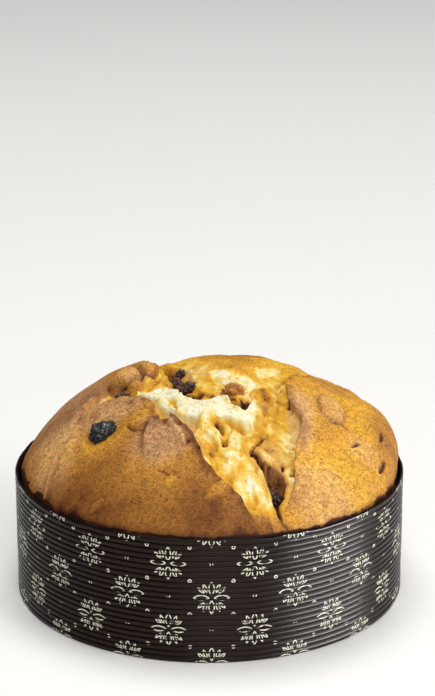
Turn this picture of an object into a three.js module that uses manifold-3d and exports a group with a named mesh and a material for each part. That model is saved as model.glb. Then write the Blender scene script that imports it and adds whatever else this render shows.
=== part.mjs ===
// A low panettone baked in its ribbed paper case, its top cut crosswise and torn open.
// Millimetres, +Z up. The origin is the centre of the case's flat underside; the torn arm faces -Y.

import * as THREE from 'three';
import { mergeVertices } from 'three/addons/utils/BufferGeometryUtils.js';
import Module from 'manifold-3d';

// Driving dimensions of the case
const CASE_DIAMETER = 210;
const CASE_HEIGHT = 67.5;
const WALL = 1.4;
const FLOOR = 1.2;
const RIB_COUNT = 23;
const RIB_DEPTH = 0.7;
const CREST = [0.18, 0.82];
const CASE_SECTORS = 44;

// Driving dimensions of the loaf
const CLEARANCE = 0.35;
const CROWN_HEIGHT = 52.6;
const TEAR_DEPTH = 6;
const LIP_LIFT = 2.2;
const FACE_DROP = 4.6;
const GRID_CELLS = 52;
const GRID_LEAN = [0.03, -0.28];
const SNAP = 1.3;

const caseRadius = CASE_DIAMETER / 2;
const innerRadius = caseRadius - WALL;
const loafRadius = innerRadius * Math.cos(Math.PI / CASE_SECTORS) - CLEARANCE;
const loafFloor = FLOOR + CLEARANCE;

// Outlines of the four crust flaps that the cross cut left, each closed beyond the rim
const FRONT_FLAP = [
  [-26, -49], [-21, -50.5], [-17, -52], [-12, -59.3], [-7.3, -67], [-3, -76], [3, -81.5], [10, -86.8],
  [17, -91.7], [22.8, -97], [30, -130], [-130, -130], [-130, -88], [-88, -60.5], [-80.5, -50],
  [-74.5, -42.5], [-69.5, -31], [-64, -24], [-52, -23.7], [-39, -28.7], [-34, -32.5], [-28, -44],
];
const LEFT_FLAP = [
  [-28.8, 11], [-29.5, 3], [-35, -5], [-43, -11], [-48, -6], [-57, -6], [-65, -11.5], [-67.7, -18],
  [-71, -30], [-76, -41], [-82, -49.3], [-89, -59], [-130, -84], [-130, 130], [-66, 130], [-48, 80],
  [-41, 56], [-36, 38], [-32, 26],
];
const BACK_FLAP = [
  [-14, 24], [-10, 8], [-7, -8], [-2.5, -20], [6, -22.6], [13, -26], [16.5, -30], [22, -22], [31, -11],
  [40, 3], [52, 18], [76, 46], [92, 64], [130, 104], [130, 130], [-60, 130], [-44, 88], [-27, 46],
];
const RIGHT_FLAP = [
  [45, 2], [42.5, -4], [43.5, -28], [49.5, -41.5], [48, -50], [44.5, -66], [45.3, -76], [38, -91.5],
  [46, -97], [52, -130], [130, -130], [130, 98], [96, 62], [66, 29], [50, 9],
];

// Lumps of crumb in the tear, and the hole in it: outline, height and whether the flaps cover it
const CRUMB_MOUND = [
  [-37, -28], [-33, -22], [-27.5, -19], [-21.5, -20], [-17.6, -24.5], [-13, -28], [-6, -28.5], [1, -27],
  [7, -25.5], [12, -27.5], [17.8, -36.5], [24, -29.5], [27.5, -33], [26, -40], [21, -46.5], [8, -44.2],
  [2, -45.5], [-5, -54], [-17, -46.5], [-22.5, -41.5], [-28, -34.5],
];
const CRUMB_STRIP = [
  [2, -45], [6, -47], [4.5, -54], [6.5, -61], [4.5, -64], [1, -60.5], [-7, -57.5], [-5, -52],
];
const TONGUE = [
  [21.5, -62.5], [28.8, -52.5], [33, -54.5], [38, -59], [42, -66], [44, -74], [43, -81], [36.8, -91.5],
  [37, -86], [36, -80], [33, -73.5], [28, -68.5],
];
const HOLE = [
  [23.2, -65.6], [31, -70], [34.5, -71.6], [38, -75], [38.2, -80], [36.3, -85], [34.6, -89.8], [33.2, -86],
  [32, -80.5], [29.8, -75.8],
];
const PATCHES = [
  [CRUMB_MOUND, 6.2, true],
  [CRUMB_STRIP, 2.4, true],
  [TONGUE, 1.6, false],
  [HOLE, -8, false],
];

// Ridges and grooves: path, half width and height, negative for a groove
const STROKES = [
  [[[-25.5, 18], [-27, 8], [-30, 0], [-34, -8], [-38, -17]], 2.2, 3.2],
  [[[-22.5, 18], [-24, 8], [-26.5, -3], [-31, -12], [-36, -20]], 1.6, 1.8],
  [[[-19, 22], [-18.5, 12], [-18, 2], [-16, -6], [-12, -12]], 4.2, -2],
  [[[-16, -4], [-9, -14], [0, -20.4], [10, -23], [14, -26]], 2, -1.6],
  [[[10.5, -26], [13.5, -29.5], [16.5, -35]], 2, -5],
  [[[33.4, -84], [35.2, -90.5], [36.6, -93]], 1.5, -4],
];

// Bumps under the crust: centre, half length, half width, turn in degrees and height
const BUMPS = [
  [27, -28, 8, 7, 0, 3],
  [64.5, -17, 12, 7, 85, 3],
  [78, -41, 6.5, 5, 0, 1.6],
  [-36.6, -45.2, 6.4, 5.2, 0, 1.5],
  [-54.5, -44.8, 10.2, 9.6, 0, -2.6],
  [28, 23, 26, 22, 0, 2.6],
  [87, -2, 16, 34, 0, 3.6],
];

// Balls of crust in the lump at the left: as the bumps, with the height over the crown that each stands on
const BALLS = [
  [-35.2, 4.6, 6.8, 6.8, 15, 5.2, 0.8],
  [-44.2, -2, 8.4, 7.4, 15, 6.2, 1],
  [-39.4, -11, 4.4, 3.6, 10, 2.6, -0.5],
];

// Hollows with a flat bottom: as the bumps, with the depth last
const HOLLOWS = [
  [-25.5, 29, 16, 5, 102, 4.2],
  [-28, 51, 13, 7, 95, 3.6],
];

// Dried fruit set in the loaf: name, centre, how proud, three half sizes, turn and tip in degrees
const FRUIT = [
  ['raisin_lobe', -54.5, -43.8, 0.4, 8.2, 7.4, 4.8, 20, 46],
  ['raisin_cavity_top', -15.6, 21.5, 0.8, 3.8, 3.2, 3.8, 60, 30],
  ['raisin_cavity_side', -18.4, 12.5, 2.2, 5, 4.4, 4.6, 100, 20],
  ['raisin_cavity', -10.4, -4.5, 0.8, 6.6, 4.6, 4.8, -15, 30],
  ['fruit_middle', 12.8, -17.5, -1, 7.4, 6.6, 6, 10, 40],
  ['raisin_left', -45.4, -14.4, 0.8, 5.6, 3.2, 3.4, 15, 30],
  ['raisin_fissure', 33.4, -75, 0.6, 6.4, 3.2, 3, -60, 30],
];

function smoothstep(low, high, value) {
  const t = Math.min(1, Math.max(0, (value - low) / (high - low)));
  return t * t * (3 - 2 * t);
}

// Distance from a point to a line, negative inside a closed one, with the nearest place on it.
function reachOf(line, x, y, closed) {
  let best = { square: Infinity, x: 0, y: 0 };
  let inside = false;
  const last = closed ? line.length : line.length - 1;
  for (let start = 0; start < last; start += 1) {
    const [ax, ay] = line[start];
    const [bx, by] = line[(start + 1) % line.length];
    const length = (bx - ax) ** 2 + (by - ay) ** 2;
    const t = Math.min(1, Math.max(0, ((x - ax) * (bx - ax) + (y - ay) * (by - ay)) / length));
    const nearX = ax + t * (bx - ax);
    const nearY = ay + t * (by - ay);
    const square = (x - nearX) ** 2 + (y - nearY) ** 2;
    if (square < best.square) best = { square, x: nearX, y: nearY };
    if (ay > y !== by > y && x < ((bx - ax) * (y - ay)) / (by - ay) + ax) inside = !inside;
  }
  const distance = Math.sqrt(best.square);
  return { distance: closed && inside ? -distance : distance, x: best.x, y: best.y };
}

function nearestFlap(x, y) {
  const flaps = [FRONT_FLAP, LEFT_FLAP, BACK_FLAP, RIGHT_FLAP];
  const reaches = flaps.map((outline) => ({ outline, ...reachOf(outline, x, y, true) }));
  return reaches.reduce((near, next) => (next.distance < near.distance ? next : near));
}

// Height of the plain crown above the rim, with a full shoulder at the right and back.
function crownHeight(x, y) {
  const reach = Math.min(1, Math.hypot(x, y) / loafRadius);
  const azimuth = Math.atan2(y, x);
  const lean = 7.75 + 10 * Math.cos(azimuth) + 3 * Math.sin(azimuth) + 2.25 * Math.cos(2 * azimuth);
  const shoulder = Math.max(0, lean);
  const dome = (CROWN_HEIGHT - shoulder) * (1 - reach ** 3) ** (1 + 0.035 * shoulder);
  return dome + shoulder * Math.sqrt(1 - reach ** 24);
}

// Distance from a bump's centre, 1 at its own edge.
function bumpReach(x, y, [centreX, centreY, long, short, degrees]) {
  const turn = THREE.MathUtils.degToRad(degrees);
  const along = (x - centreX) * Math.cos(turn) + (y - centreY) * Math.sin(turn);
  const across = (y - centreY) * Math.cos(turn) - (x - centreX) * Math.sin(turn);
  return Math.hypot(along / long, across / short);
}

function domeShape(reach) {
  return Math.max(0, 1 - reach ** 2) ** 0.7;
}

// The skin with its bumps, balls and hollows.
function withBumps(x, y, skin) {
  let height = skin;
  for (const bump of BUMPS) height += bump[5] * domeShape(bumpReach(x, y, bump));
  for (const ball of BALLS) {
    const reach = bumpReach(x, y, ball);
    const seat = 1 - smoothstep(0.85, 1.25, reach);
    height += seat * (crownHeight(x, y) + ball[6] - height) + ball[5] * domeShape(reach);
  }
  for (const hollow of HOLLOWS) height -= hollow[5] * (1 - smoothstep(0.7, 1.15, bumpReach(x, y, hollow)));
  return height;
}

// Height of the loaf's top above the case's rim: flaps, the tear between them and what stands in it.
function skinHeight(x, y) {
  const inner = 1 - smoothstep(0.88, 0.99, Math.hypot(x, y) / loafRadius);
  const flap = nearestFlap(x, y);
  const torn = smoothstep(-0.4, 2.6, flap.distance) * inner;
  const within = Math.min(0, flap.distance);
  const ofBack = flap.outline === BACK_FLAP;
  let height = crownHeight(x, y);
  if (ofBack) {
    const across = smoothstep(-30, -18, x) * (1 - smoothstep(34, 50, x));
    height -= FACE_DROP * (smoothstep(-34, 0, flap.distance) * across) ** 1.6;
  } else {
    height += (1 - torn) * LIP_LIFT * Math.exp(within / 8) * inner;
  }
  height -= torn * TEAR_DEPTH * (0.5 + 0.5 * smoothstep(0, 8, flap.distance));
  for (const [outline, rise, covered] of PATCHES) {
    const { distance } = reachOf(outline, x, y, true);
    height += rise * (1 - smoothstep(-1.4, 1.4, distance)) * (covered ? torn : inner);
  }
  for (const [path, width, rise] of STROKES) {
    const { distance } = reachOf(path, x, y, false);
    height += rise * Math.exp(-((distance / width) ** 2)) * inner;
  }
  return withBumps(x, y, height);
}

// Maps a square from -1 to 1 onto the unit disc, with the closest cells at the rim and the torn front.
function squareToDisc(a, b) {
  const wide = Math.abs(a) > Math.abs(b);
  const side = wide ? a : b;
  const slant = side === 0 ? 0 : (Math.PI / 4) * ((wide ? b : a) / side);
  const azimuth = wide ? slant : Math.PI / 2 - slant;
  const radius = side + 0.163 * side * (1 - Math.abs(side) ** 6);
  const px = radius * Math.cos(azimuth);
  const py = radius * Math.sin(azimuth);
  const [leanX, leanY] = GRID_LEAN;
  const topX = px + leanX;
  const topY = py + leanY;
  const lowX = 1 + leanX * px + leanY * py;
  const lowY = leanX * py - leanY * px;
  const square = lowX ** 2 + lowY ** 2;
  return [(topX * lowX + topY * lowY) / square, (topY * lowX - topX * lowY) / square];
}

// A point of the loaf's top: points close to a flap's edge move onto it, so that the edge stays sharp.
function skinPoint(u, v) {
  let x = u * loafRadius;
  let y = v * loafRadius;
  if (Math.hypot(u, v) < 0.95) {
    const flap = nearestFlap(x, y);
    if (Math.abs(flap.distance) < SNAP) {
      x = flap.x;
      y = flap.y;
    }
  }
  return [x, y, CASE_HEIGHT + skinHeight(x, y)];
}

function geometryFrom(vertices, triangles) {
  const geometry = new THREE.BufferGeometry();
  geometry.setAttribute('position', new THREE.Float32BufferAttribute(vertices, 3));
  geometry.setIndex(triangles);
  return geometry;
}

// The loaf: a crowned and torn top, a straight side inside the case and a flat underside.
// Each cell of the top is cut along the diagonal whose ends are closer in height.
function loafGeometry() {
  const cells = GRID_CELLS;
  const vertices = [];
  const triangles = [];
  const index = (column, row) => row * (cells + 1) + column;
  const level = (point) => vertices[3 * point + 2];
  for (let row = 0; row <= cells; row += 1) {
    for (let column = 0; column <= cells; column += 1) {
      const [u, v] = squareToDisc((2 * column) / cells - 1, (2 * row) / cells - 1);
      vertices.push(...skinPoint(u, v));
    }
  }
  for (let row = 0; row < cells; row += 1) {
    for (let column = 0; column < cells; column += 1) {
      const near = index(column, row);
      const right = index(column + 1, row);
      const far = index(column + 1, row + 1);
      const left = index(column, row + 1);
      const straight = Math.abs(level(near) - level(far)) < Math.abs(level(right) - level(left));
      if (straight) triangles.push(near, right, far, near, far, left);
      else triangles.push(near, right, left, right, far, left);
    }
  }
  const edge = [];
  for (let step = 0; step < cells; step += 1) edge.push(index(step, 0));
  for (let step = 0; step < cells; step += 1) edge.push(index(cells, step));
  for (let step = cells; step > 0; step -= 1) edge.push(index(step, cells));
  for (let step = cells; step > 0; step -= 1) edge.push(index(0, step));
  const foot = edge.map((top) => {
    vertices.push(vertices[3 * top], vertices[3 * top + 1], loafFloor);
    return vertices.length / 3 - 1;
  });
  vertices.push(0, 0, loafFloor);
  const centre = vertices.length / 3 - 1;
  edge.forEach((top, place) => {
    const next = (place + 1) % edge.length;
    triangles.push(top, foot[place], foot[next], top, foot[next], edge[next]);
    triangles.push(centre, foot[next], foot[place]);
  });
  return geometryFrom(vertices, triangles);
}

// A dried fruit, grown all round by the gap that its pocket leaves.
function fruitGeometry([, x, y, proud, long, wide, thick, turn, tip], gap) {
  const ball = new THREE.IcosahedronGeometry(1, 1);
  ball.deleteAttribute('uv');
  ball.deleteAttribute('normal');
  const fruit = mergeVertices(ball, 1e-4);
  fruit.scale(long + gap, wide + gap, thick + gap);
  fruit.rotateZ(THREE.MathUtils.degToRad(turn));
  fruit.rotateX(THREE.MathUtils.degToRad(tip));
  return fruit.translate(x, y, CASE_HEIGHT + skinHeight(x, y) + proud);
}

// The case: a cup of corrugated paper, its wall ribbed all round with flat crests and narrow grooves.
function caseGeometry() {
  const pitch = CASE_HEIGHT / RIB_COUNT;
  const profile = [new THREE.Vector2(0, 0), new THREE.Vector2(caseRadius - RIB_DEPTH, 0)];
  for (let rib = 0; rib < RIB_COUNT; rib += 1) {
    for (const share of CREST) profile.push(new THREE.Vector2(caseRadius, (rib + share) * pitch));
    profile.push(new THREE.Vector2(caseRadius - RIB_DEPTH, (rib + 1) * pitch));
  }
  profile.push(new THREE.Vector2(innerRadius, CASE_HEIGHT));
  profile.push(new THREE.Vector2(innerRadius, FLOOR), new THREE.Vector2(0, FLOOR));
  const geometry = new THREE.LatheGeometry(profile, CASE_SECTORS);
  return geometry.rotateX(Math.PI / 2);
}

const wasm = await Module();
wasm.setup();

function solidFrom(geometry) {
  const vertProperties = Float32Array.from(geometry.attributes.position.array);
  const triVerts = Uint32Array.from(geometry.index.array);
  return new wasm.Manifold(new wasm.Mesh({ numProp: 3, vertProperties, triVerts }));
}

// The loaf with a pocket for each fruit.
function pocketedLoaf() {
  let solid = solidFrom(loafGeometry());
  for (const fruit of FRUIT) solid = solid.subtract(solidFrom(fruitGeometry(fruit, CLEARANCE)));
  const mesh = solid.getMesh();
  return geometryFrom(Array.from(mesh.vertProperties), Array.from(mesh.triVerts));
}

const crustColour = new THREE.MeshStandardMaterial({ color: 0xb98446, roughness: 0.75 });
const paperColour = new THREE.MeshStandardMaterial({ color: 0x33241f, roughness: 0.5 });
const fruitColour = new THREE.MeshStandardMaterial({ color: 0x2a1818, roughness: 0.5 });

const panettone = new THREE.Group();

function addNode(name, geometry, material) {
  const node = new THREE.Mesh(geometry, material);
  node.name = name;
  panettone.add(node);
}

addNode('loaf', pocketedLoaf(), crustColour);
addNode('paper_case', caseGeometry(), paperColour);
for (const fruit of FRUIT) addNode(fruit[0], fruitGeometry(fruit, 0), fruitColour);

export default panettone;
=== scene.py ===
"""A low panettone in its ribbed paper case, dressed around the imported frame.

Lengths in the form classes are millimetres, as the loaf is measured; meshes are made in metres.
The loaf's top is one skin over a disc: a crown, four crust flaps between the arms of a cross cut,
and the torn crumb that shows between them.
"""

from __future__ import annotations

import logging
import math
from dataclasses import dataclass
from enum import Enum, IntEnum

import bmesh
import bpy
import numpy as np
from mathutils import Matrix, Vector

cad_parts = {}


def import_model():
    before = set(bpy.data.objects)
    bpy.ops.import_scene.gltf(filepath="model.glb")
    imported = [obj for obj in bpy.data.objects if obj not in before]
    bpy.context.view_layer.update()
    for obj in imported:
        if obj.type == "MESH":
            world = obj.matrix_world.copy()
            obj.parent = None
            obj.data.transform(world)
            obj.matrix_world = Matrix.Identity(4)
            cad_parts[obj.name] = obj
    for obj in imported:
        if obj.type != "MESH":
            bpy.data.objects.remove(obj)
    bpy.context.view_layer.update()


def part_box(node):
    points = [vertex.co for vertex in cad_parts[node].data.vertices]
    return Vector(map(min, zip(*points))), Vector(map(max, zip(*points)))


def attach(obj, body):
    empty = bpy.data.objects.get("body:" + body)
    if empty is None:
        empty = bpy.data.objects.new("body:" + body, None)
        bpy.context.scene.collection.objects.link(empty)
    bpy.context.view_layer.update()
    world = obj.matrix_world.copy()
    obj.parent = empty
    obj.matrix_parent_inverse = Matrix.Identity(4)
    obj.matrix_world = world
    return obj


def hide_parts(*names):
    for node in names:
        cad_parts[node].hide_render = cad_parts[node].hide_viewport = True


LOG = logging.getLogger("panettone")
MM = 0.001
Point = tuple[float, float]
Path = list[Point]
Colour = tuple[float, float, float]


class Body(Enum):
    """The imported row's bodies."""

    ROOT = "root"


class Slot(Enum):
    """The record's material slots."""

    CRUST = "crust"
    PAPER = "paper"
    RAISIN = "raisin"


def smoothstep(low: float, high: float, value: np.ndarray) -> np.ndarray:
    """Rise smoothly from 0 at low to 1 at high.

    Args:
        low: where the rise starts.
        high: where it ends.
        value: the values to grade.

    Returns:
        The graded values.
    """
    t = np.clip((value - low) / (high - low), 0.0, 1.0)
    return t * t * (3.0 - 2.0 * t)


def bell(distance: np.ndarray, width: np.ndarray | float) -> np.ndarray:
    """Return a round hump, 1 at no distance and near 0 past twice the width."""
    return np.exp(-((distance / width) ** 2))


@dataclass(frozen=True)
class Reach:
    """How points lie to an outline or a path.

    Attributes:
        distance: in millimetres, negative inside an outline.
        out_x: the way out of the outline, along X.
        out_y: the way out of the outline, along Y.
        along: how far along the line the nearest point is, from 0 to 1.
    """

    distance: np.ndarray
    out_x: np.ndarray
    out_y: np.ndarray
    along: np.ndarray


def rounded(points: Path, closed: bool, steps: int = 4) -> np.ndarray:
    """Pass a smooth curve through points.

    Args:
        points: the points to pass through.
        closed: whether the curve returns to its first point.
        steps: pieces to each stretch between two points.

    Returns:
        The curve's points, one to a row.
    """
    p = np.array(points, float)
    if closed:
        p = np.vstack([p[-1:], p, p[:2]])
    else:
        p = np.vstack([2 * p[0] - p[1], p, 2 * p[-1] - p[-2]])
    curve = []
    for a, b, c, d in zip(p[:-3], p[1:-2], p[2:-1], p[3:]):
        bend = 2 * a - 5 * b + 4 * c - d
        twist = 3 * b - a - 3 * c + d
        for t in np.arange(steps) / steps:
            curve.append(0.5 * (2 * b + (c - a) * t + bend * t**2 + twist * t**3))
    curve.append(p[-2] if not closed else curve[0])
    return np.array(curve)


def reach_of(points: Path, x: np.ndarray, y: np.ndarray, closed: bool = False) -> Reach:
    """Measure how points lie to a smooth line.

    Args:
        points: the line's own points.
        x: where to measure, along X.
        y: where to measure, along Y.
        closed: whether the line is an outline with an inside.

    Returns:
        The reach of every point.
    """
    line = rounded(points, closed)
    best = np.full(x.shape, 1e9)
    near_x = np.zeros(x.shape)
    near_y = np.zeros(x.shape)
    along = np.zeros(x.shape)
    inside = np.zeros(x.shape, bool)
    lengths = np.hypot(*np.diff(line, axis=0).T)
    start = np.concatenate([[0.0], np.cumsum(lengths)])
    for (ax, ay), (bx, by), length, begun in zip(line[:-1], line[1:], lengths, start):
        if length < 1e-9:
            continue
        t = np.clip(((x - ax) * (bx - ax) + (y - ay) * (by - ay)) / length**2, 0.0, 1.0)
        qx, qy = ax + t * (bx - ax), ay + t * (by - ay)
        square = (x - qx) ** 2 + (y - qy) ** 2
        nearer = square < best
        best = np.where(nearer, square, best)
        near_x = np.where(nearer, qx, near_x)
        near_y = np.where(nearer, qy, near_y)
        along = np.where(nearer, (begun + t * length) / start[-1], along)
        if closed and ay != by:
            crosses = ((ay > y) != (by > y)) & (x < (bx - ax) * (y - ay) / (by - ay) + ax)
            inside ^= crosses
    distance = np.sqrt(best)
    sign = np.where(inside, -1.0, 1.0)
    span = np.maximum(distance, 1e-6)
    return Reach(distance * sign, sign * (x - near_x) / span, sign * (y - near_y) / span, along)


class Grain:
    """Seeded noise on the plane, the same on every run."""

    SIDE = 128

    def __init__(self, seed: int) -> None:
        """Draw the lattice.

        Args:
            seed: which noise to draw.
        """
        self.lattice = np.random.default_rng(seed).random((self.SIDE, self.SIDE))

    def at(self, x: np.ndarray, y: np.ndarray, size: float) -> np.ndarray:
        """Return smooth noise.

        Args:
            x: where to read it, along X.
            y: where to read it, along Y.
            size: how far across its lumps are.

        Returns:
            The noise, from -1 to 1.
        """
        u, v = x / size + 31.7, y / size + 57.3
        i, j = np.floor(u).astype(int), np.floor(v).astype(int)
        fu, fv = u - i, v - j
        fu = fu**3 * (fu * (fu * 6 - 15) + 10)
        fv = fv**3 * (fv * (fv * 6 - 15) + 10)
        i0, i1, j0, j1 = i % self.SIDE, (i + 1) % self.SIDE, j % self.SIDE, (j + 1) % self.SIDE
        low = self.lattice[i0, j0] * (1 - fu) + self.lattice[i1, j0] * fu
        high = self.lattice[i0, j1] * (1 - fu) + self.lattice[i1, j1] * fu
        return 2.0 * (low * (1 - fv) + high * fv) - 1.0

    def layered(self, x: np.ndarray, y: np.ndarray, size: float, layers: int = 3) -> np.ndarray:
        """Return noise with finer noise on it, each layer half the size and half as strong.

        Args:
            x: where to read it, along X.
            y: where to read it, along Y.
            size: how far across its largest lumps are.
            layers: how many layers it has.

        Returns:
            The noise, from about -2 to 2.
        """
        total = np.zeros(x.shape)
        for layer in range(layers):
            total += self.at(x + 17.0 * layer, y - 11.0 * layer, size / 2**layer) / 2**layer
        return total


@dataclass(frozen=True)
class Bump:
    """A raisin or air bubble under the crust, or a hollow.

    Attributes:
        x: its centre, along X.
        y: its centre, along Y.
        long: its longer half width.
        short: its shorter half width.
        turn: degrees from X to its long side.
        height: how far it stands out, or sinks in if negative.
        creased: how deep the crease round it is, and how much shade is painted in it.
        bake: how much browner than its surroundings it is.
        level: the height over the crown that it stands on, or None for what lies there.
    """

    x: float
    y: float
    long: float
    short: float
    turn: float
    height: float
    creased: float = 0.0
    bake: float = 0.0
    level: float | None = None

    def reach(self, x: np.ndarray, y: np.ndarray) -> np.ndarray:
        """Measure how far points are from the centre.

        Args:
            x: the points, along X.
            y: the points, along Y.

        Returns:
            The distance, 1 at the bump's own edge.
        """
        c, s = math.cos(math.radians(self.turn)), math.sin(math.radians(self.turn))
        u = ((x - self.x) * c + (y - self.y) * s) / self.long
        v = (-(x - self.x) * s + (y - self.y) * c) / self.short
        return np.hypot(u, v)


@dataclass(frozen=True)
class Stroke:
    """A ridge, groove or band of colour along a path, thin at both ends.

    Attributes:
        path: the points it passes through.
        width: its half width.
        height: how far it stands out, or sinks in if negative.
        bake: the bake it takes on, which along dark cracks and grooves is painted shade.
        steep: whether it has steep sides, as a crack does.
    """

    path: tuple[Point, ...]
    width: float
    height: float
    bake: float
    steep: bool = False

    def weight(self, x: np.ndarray, y: np.ndarray) -> np.ndarray:
        """Work out how strongly the stroke is felt.

        Args:
            x: the points, along X.
            y: the points, along Y.

        Returns:
            The strength, from 0 to 1.
        """
        reach = reach_of(list(self.path), x, y)
        width = self.width * (0.2 + 0.8 * np.sin(math.pi * np.clip(reach.along, 0.02, 0.98)) ** 0.7)
        if self.steep:
            return 1.0 - smoothstep(0.5, 1.1, reach.distance / width)
        return bell(reach.distance, width)


@dataclass(frozen=True)
class Patch:
    """A piece of the torn top with its own level and tone.

    Attributes:
        outline: its edge.
        height: how far it stands out, or sinks in if negative.
        bake: the bake it takes on, which in the hole is painted shade.
        soft: how wide its edge is.
        lumps: how uneven it is.
        under: whether it lies under the flaps, and so shows only between them.
        streaks: how much of its surroundings show through in streaks.
    """

    outline: Path
    height: float
    bake: float
    soft: float = 1.2
    lumps: float = 0.0
    under: bool = False
    streaks: float = 0.0

    def weight(self, x: np.ndarray, y: np.ndarray) -> np.ndarray:
        """Return 1 inside the patch and 0 outside it."""
        distance = reach_of(self.outline, x, y, closed=True).distance
        return 1.0 - smoothstep(-self.soft, self.soft, distance)


@dataclass
class Skin:
    """The loaf's top as it is worked out, for every point of the disc.

    Attributes:
        x: the points, along X.
        y: the points, along Y.
        wx: the wandering points that edges are measured from, along X.
        wy: the wandering points, along Y.
        inner: 1 on the crown and 0 at the rim.
        gap: 1 between the flaps.
        z: the height above the rim.
        bake: from 0 for pale crumb to 1 for dark crust; it also carries painted shade and light.
        dusk: how far the crust turns from golden to dusky brown, partly its own tone and partly a painted
            sheen on upper faces.
        torn: 1 where crumb shows.
    """

    x: np.ndarray
    y: np.ndarray
    wx: np.ndarray
    wy: np.ndarray
    inner: np.ndarray
    gap: np.ndarray
    z: np.ndarray
    bake: np.ndarray
    dusk: np.ndarray
    torn: np.ndarray

    def tint(self, weight: np.ndarray, bake: float) -> None:
        """Bring the bake to a level where the weight is 1."""
        self.bake = self.bake * (1.0 - weight) + weight * bake


FRONT_FLAP: Path = [
    (-26, -49), (-21, -50.5), (-17, -52), (-14.5, -55.5), (-12, -59.3), (-9, -63), (-7.3, -67), (-5, -72),
    (-3, -76), (0, -78.6), (3, -81.5), (6.5, -84.7), (10, -86.8), (13.6, -88.8), (17, -91.7), (20, -94),
    (22.8, -97), (25, -100.5), (30, -130), (-130, -130), (-130, -88), (-88, -60.5), (-83.5, -54.8),
    (-80.5, -50), (-77.5, -46.3), (-74.5, -42.5), (-71.5, -36.5), (-69.5, -31), (-67, -26), (-64, -24),
    (-60, -24), (-52, -23.7), (-46.8, -25), (-39, -28.7), (-34, -32.5), (-30, -38.5), (-28, -44),
]
LEFT_FLAP: Path = [
    (-28.8, 11), (-29.5, 3), (-35, -5), (-43, -11), (-48, -6), (-53, -5), (-57, -6), (-61, -8.5),
    (-65, -11.5), (-67.7, -18), (-69.3, -24), (-71, -30), (-73.2, -35.5), (-76, -41), (-79, -45.3),
    (-82, -49.3), (-85, -54), (-89, -59), (-130, -84), (-130, 130), (-66, 130), (-48, 80), (-41, 56),
    (-36, 38), (-32, 26), (-29.5, 18),
]
BACK_FLAP: Path = [
    (-14, 24), (-11, 17), (-10, 8), (-9, 0), (-7, -8), (-5, -15), (-2.5, -20), (2, -22), (6, -22.6),
    (9, -23.6), (13, -26), (16.5, -30), (19, -27.5), (22, -22), (26, -17), (31, -11), (36, -4), (40, 3),
    (45, 10), (52, 18), (62, 30), (76, 46), (92, 64), (130, 104), (130, 130), (-60, 130), (-44, 88),
    (-35, 66), (-27, 46), (-20, 34),
]
RIGHT_FLAP: Path = [
    (45, 2), (42.5, -4), (42.8, -14), (43.5, -28), (46.7, -34), (49.5, -41.5), (48, -50), (46, -58),
    (44.5, -66), (44.5, -72), (45.3, -76), (44, -81), (41, -86.5), (38, -91.5), (40.5, -95), (46, -97),
    (52, -130), (130, -130), (130, 98), (96, 62), (79, 43), (66, 29), (56, 17), (50, 9),
]

# The edges of the pieces of torn crumb and crust that lie between the flaps
CRUMB_MOUND: Path = [
    (-37, -28), (-33, -22), (-27.5, -19), (-21.5, -20), (-17.6, -24.5), (-13, -28), (-6, -28.5),
    (1, -27), (7, -25.5), (12, -27.5), (15.8, -33.5), (17.8, -36.5), (20.2, -32.5), (24, -29.5),
    (27.5, -33), (26, -40), (21, -46.5), (15, -46), (8, -44.2), (2, -45.5), (-1, -50), (-5, -54),
    (-11, -50), (-17, -46.5), (-22.5, -41.5), (-28, -34.5),
]
CRUMB_STRIP: Path = [
    (2, -45), (6, -47), (4.5, -54), (6.5, -61), (4.5, -64), (1, -60.5), (-3.5, -58.5), (-7, -57.5),
    (-5, -52),
]
FRONT_CRUMB: Path = [
    (8.6, -67), (14.4, -65.5), (18.8, -70.4), (23, -74.5), (27.4, -78), (31.7, -83), (33.8, -88),
    (33, -91), (28.7, -91), (24.4, -88), (17.2, -83.5), (11.5, -78), (8.6, -73),
]
WHITE_CRUMB: Path = [
    (-0.2, 9), (4, 12.5), (10.8, 7), (16.7, 3.4), (21.6, 0.6), (24.8, -9.3), (22.5, -15.9),
    (19.5, -15), (15, -9), (12, -12), (8.5, -9), (5.5, -9.5), (2.6, -5.2),
]
FAR_WHITE_CRUMB: Path = [
    (24.3, 10), (29.8, 15.2), (35.8, 15.3), (36.4, 9.9), (31.7, 4.8), (26.3, 2.5),
]
GOLDEN_CRUMB: Path = [
    (24.7, -15.8), (31.4, -10.9), (39.8, 1.8), (42.1, -25.8), (42.6, -30.9), (41.7, -41),
    (38.7, -49.1), (33.7, -45.1), (27.1, -40.6), (24.5, -37),
]
LEFT_STRANDS: Path = [
    (-38, -27), (-37, -15), (-33.5, -7), (-29, 4), (-26.5, 16), (-25.5, 28), (-22, 30), (-21.5, 18),
    (-22.5, 8), (-24.5, -5), (-28.8, -20), (-34, -25),
]
BROWN_HOLLOW: Path = [
    (1.3, -49.1), (4.8, -49), (7.1, -51.1), (10.5, -58), (9.9, -63.4), (6.5, -62.6), (4.6, -56.3),
]
MOUND_FOOT: Path = [
    (0.9, -48.5), (5.6, -44.6), (10.6, -45.2), (15.6, -46.6), (17.2, -49), (14.4, -52), (9.8, -53.4),
    (6.5, -51.5), (2.3, -51.4),
]
BROWN_SHELF: Path = [
    (-8.5, -62), (-4, -59.6), (0, -61.5), (3, -65.5), (3.5, -70), (-1, -72), (-5, -69),
]
TONGUE: Path = [
    (21.5, -62.5), (25, -57.5), (28.8, -52.5), (33, -54.5), (38, -59), (42, -66), (44, -74),
    (43, -81), (39.5, -87.5), (36.8, -91.5), (37, -86), (36, -80), (33, -73.5), (28, -68.5),
]
HOLE: Path = [
    (23.2, -65.6), (27, -68.2), (31, -70), (34.5, -71.6), (38, -75), (38.2, -80), (36.3, -85),
    (34.6, -89.8), (33.2, -86), (32, -80.5), (29.8, -75.8), (26.4, -70.8),
]

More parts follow.
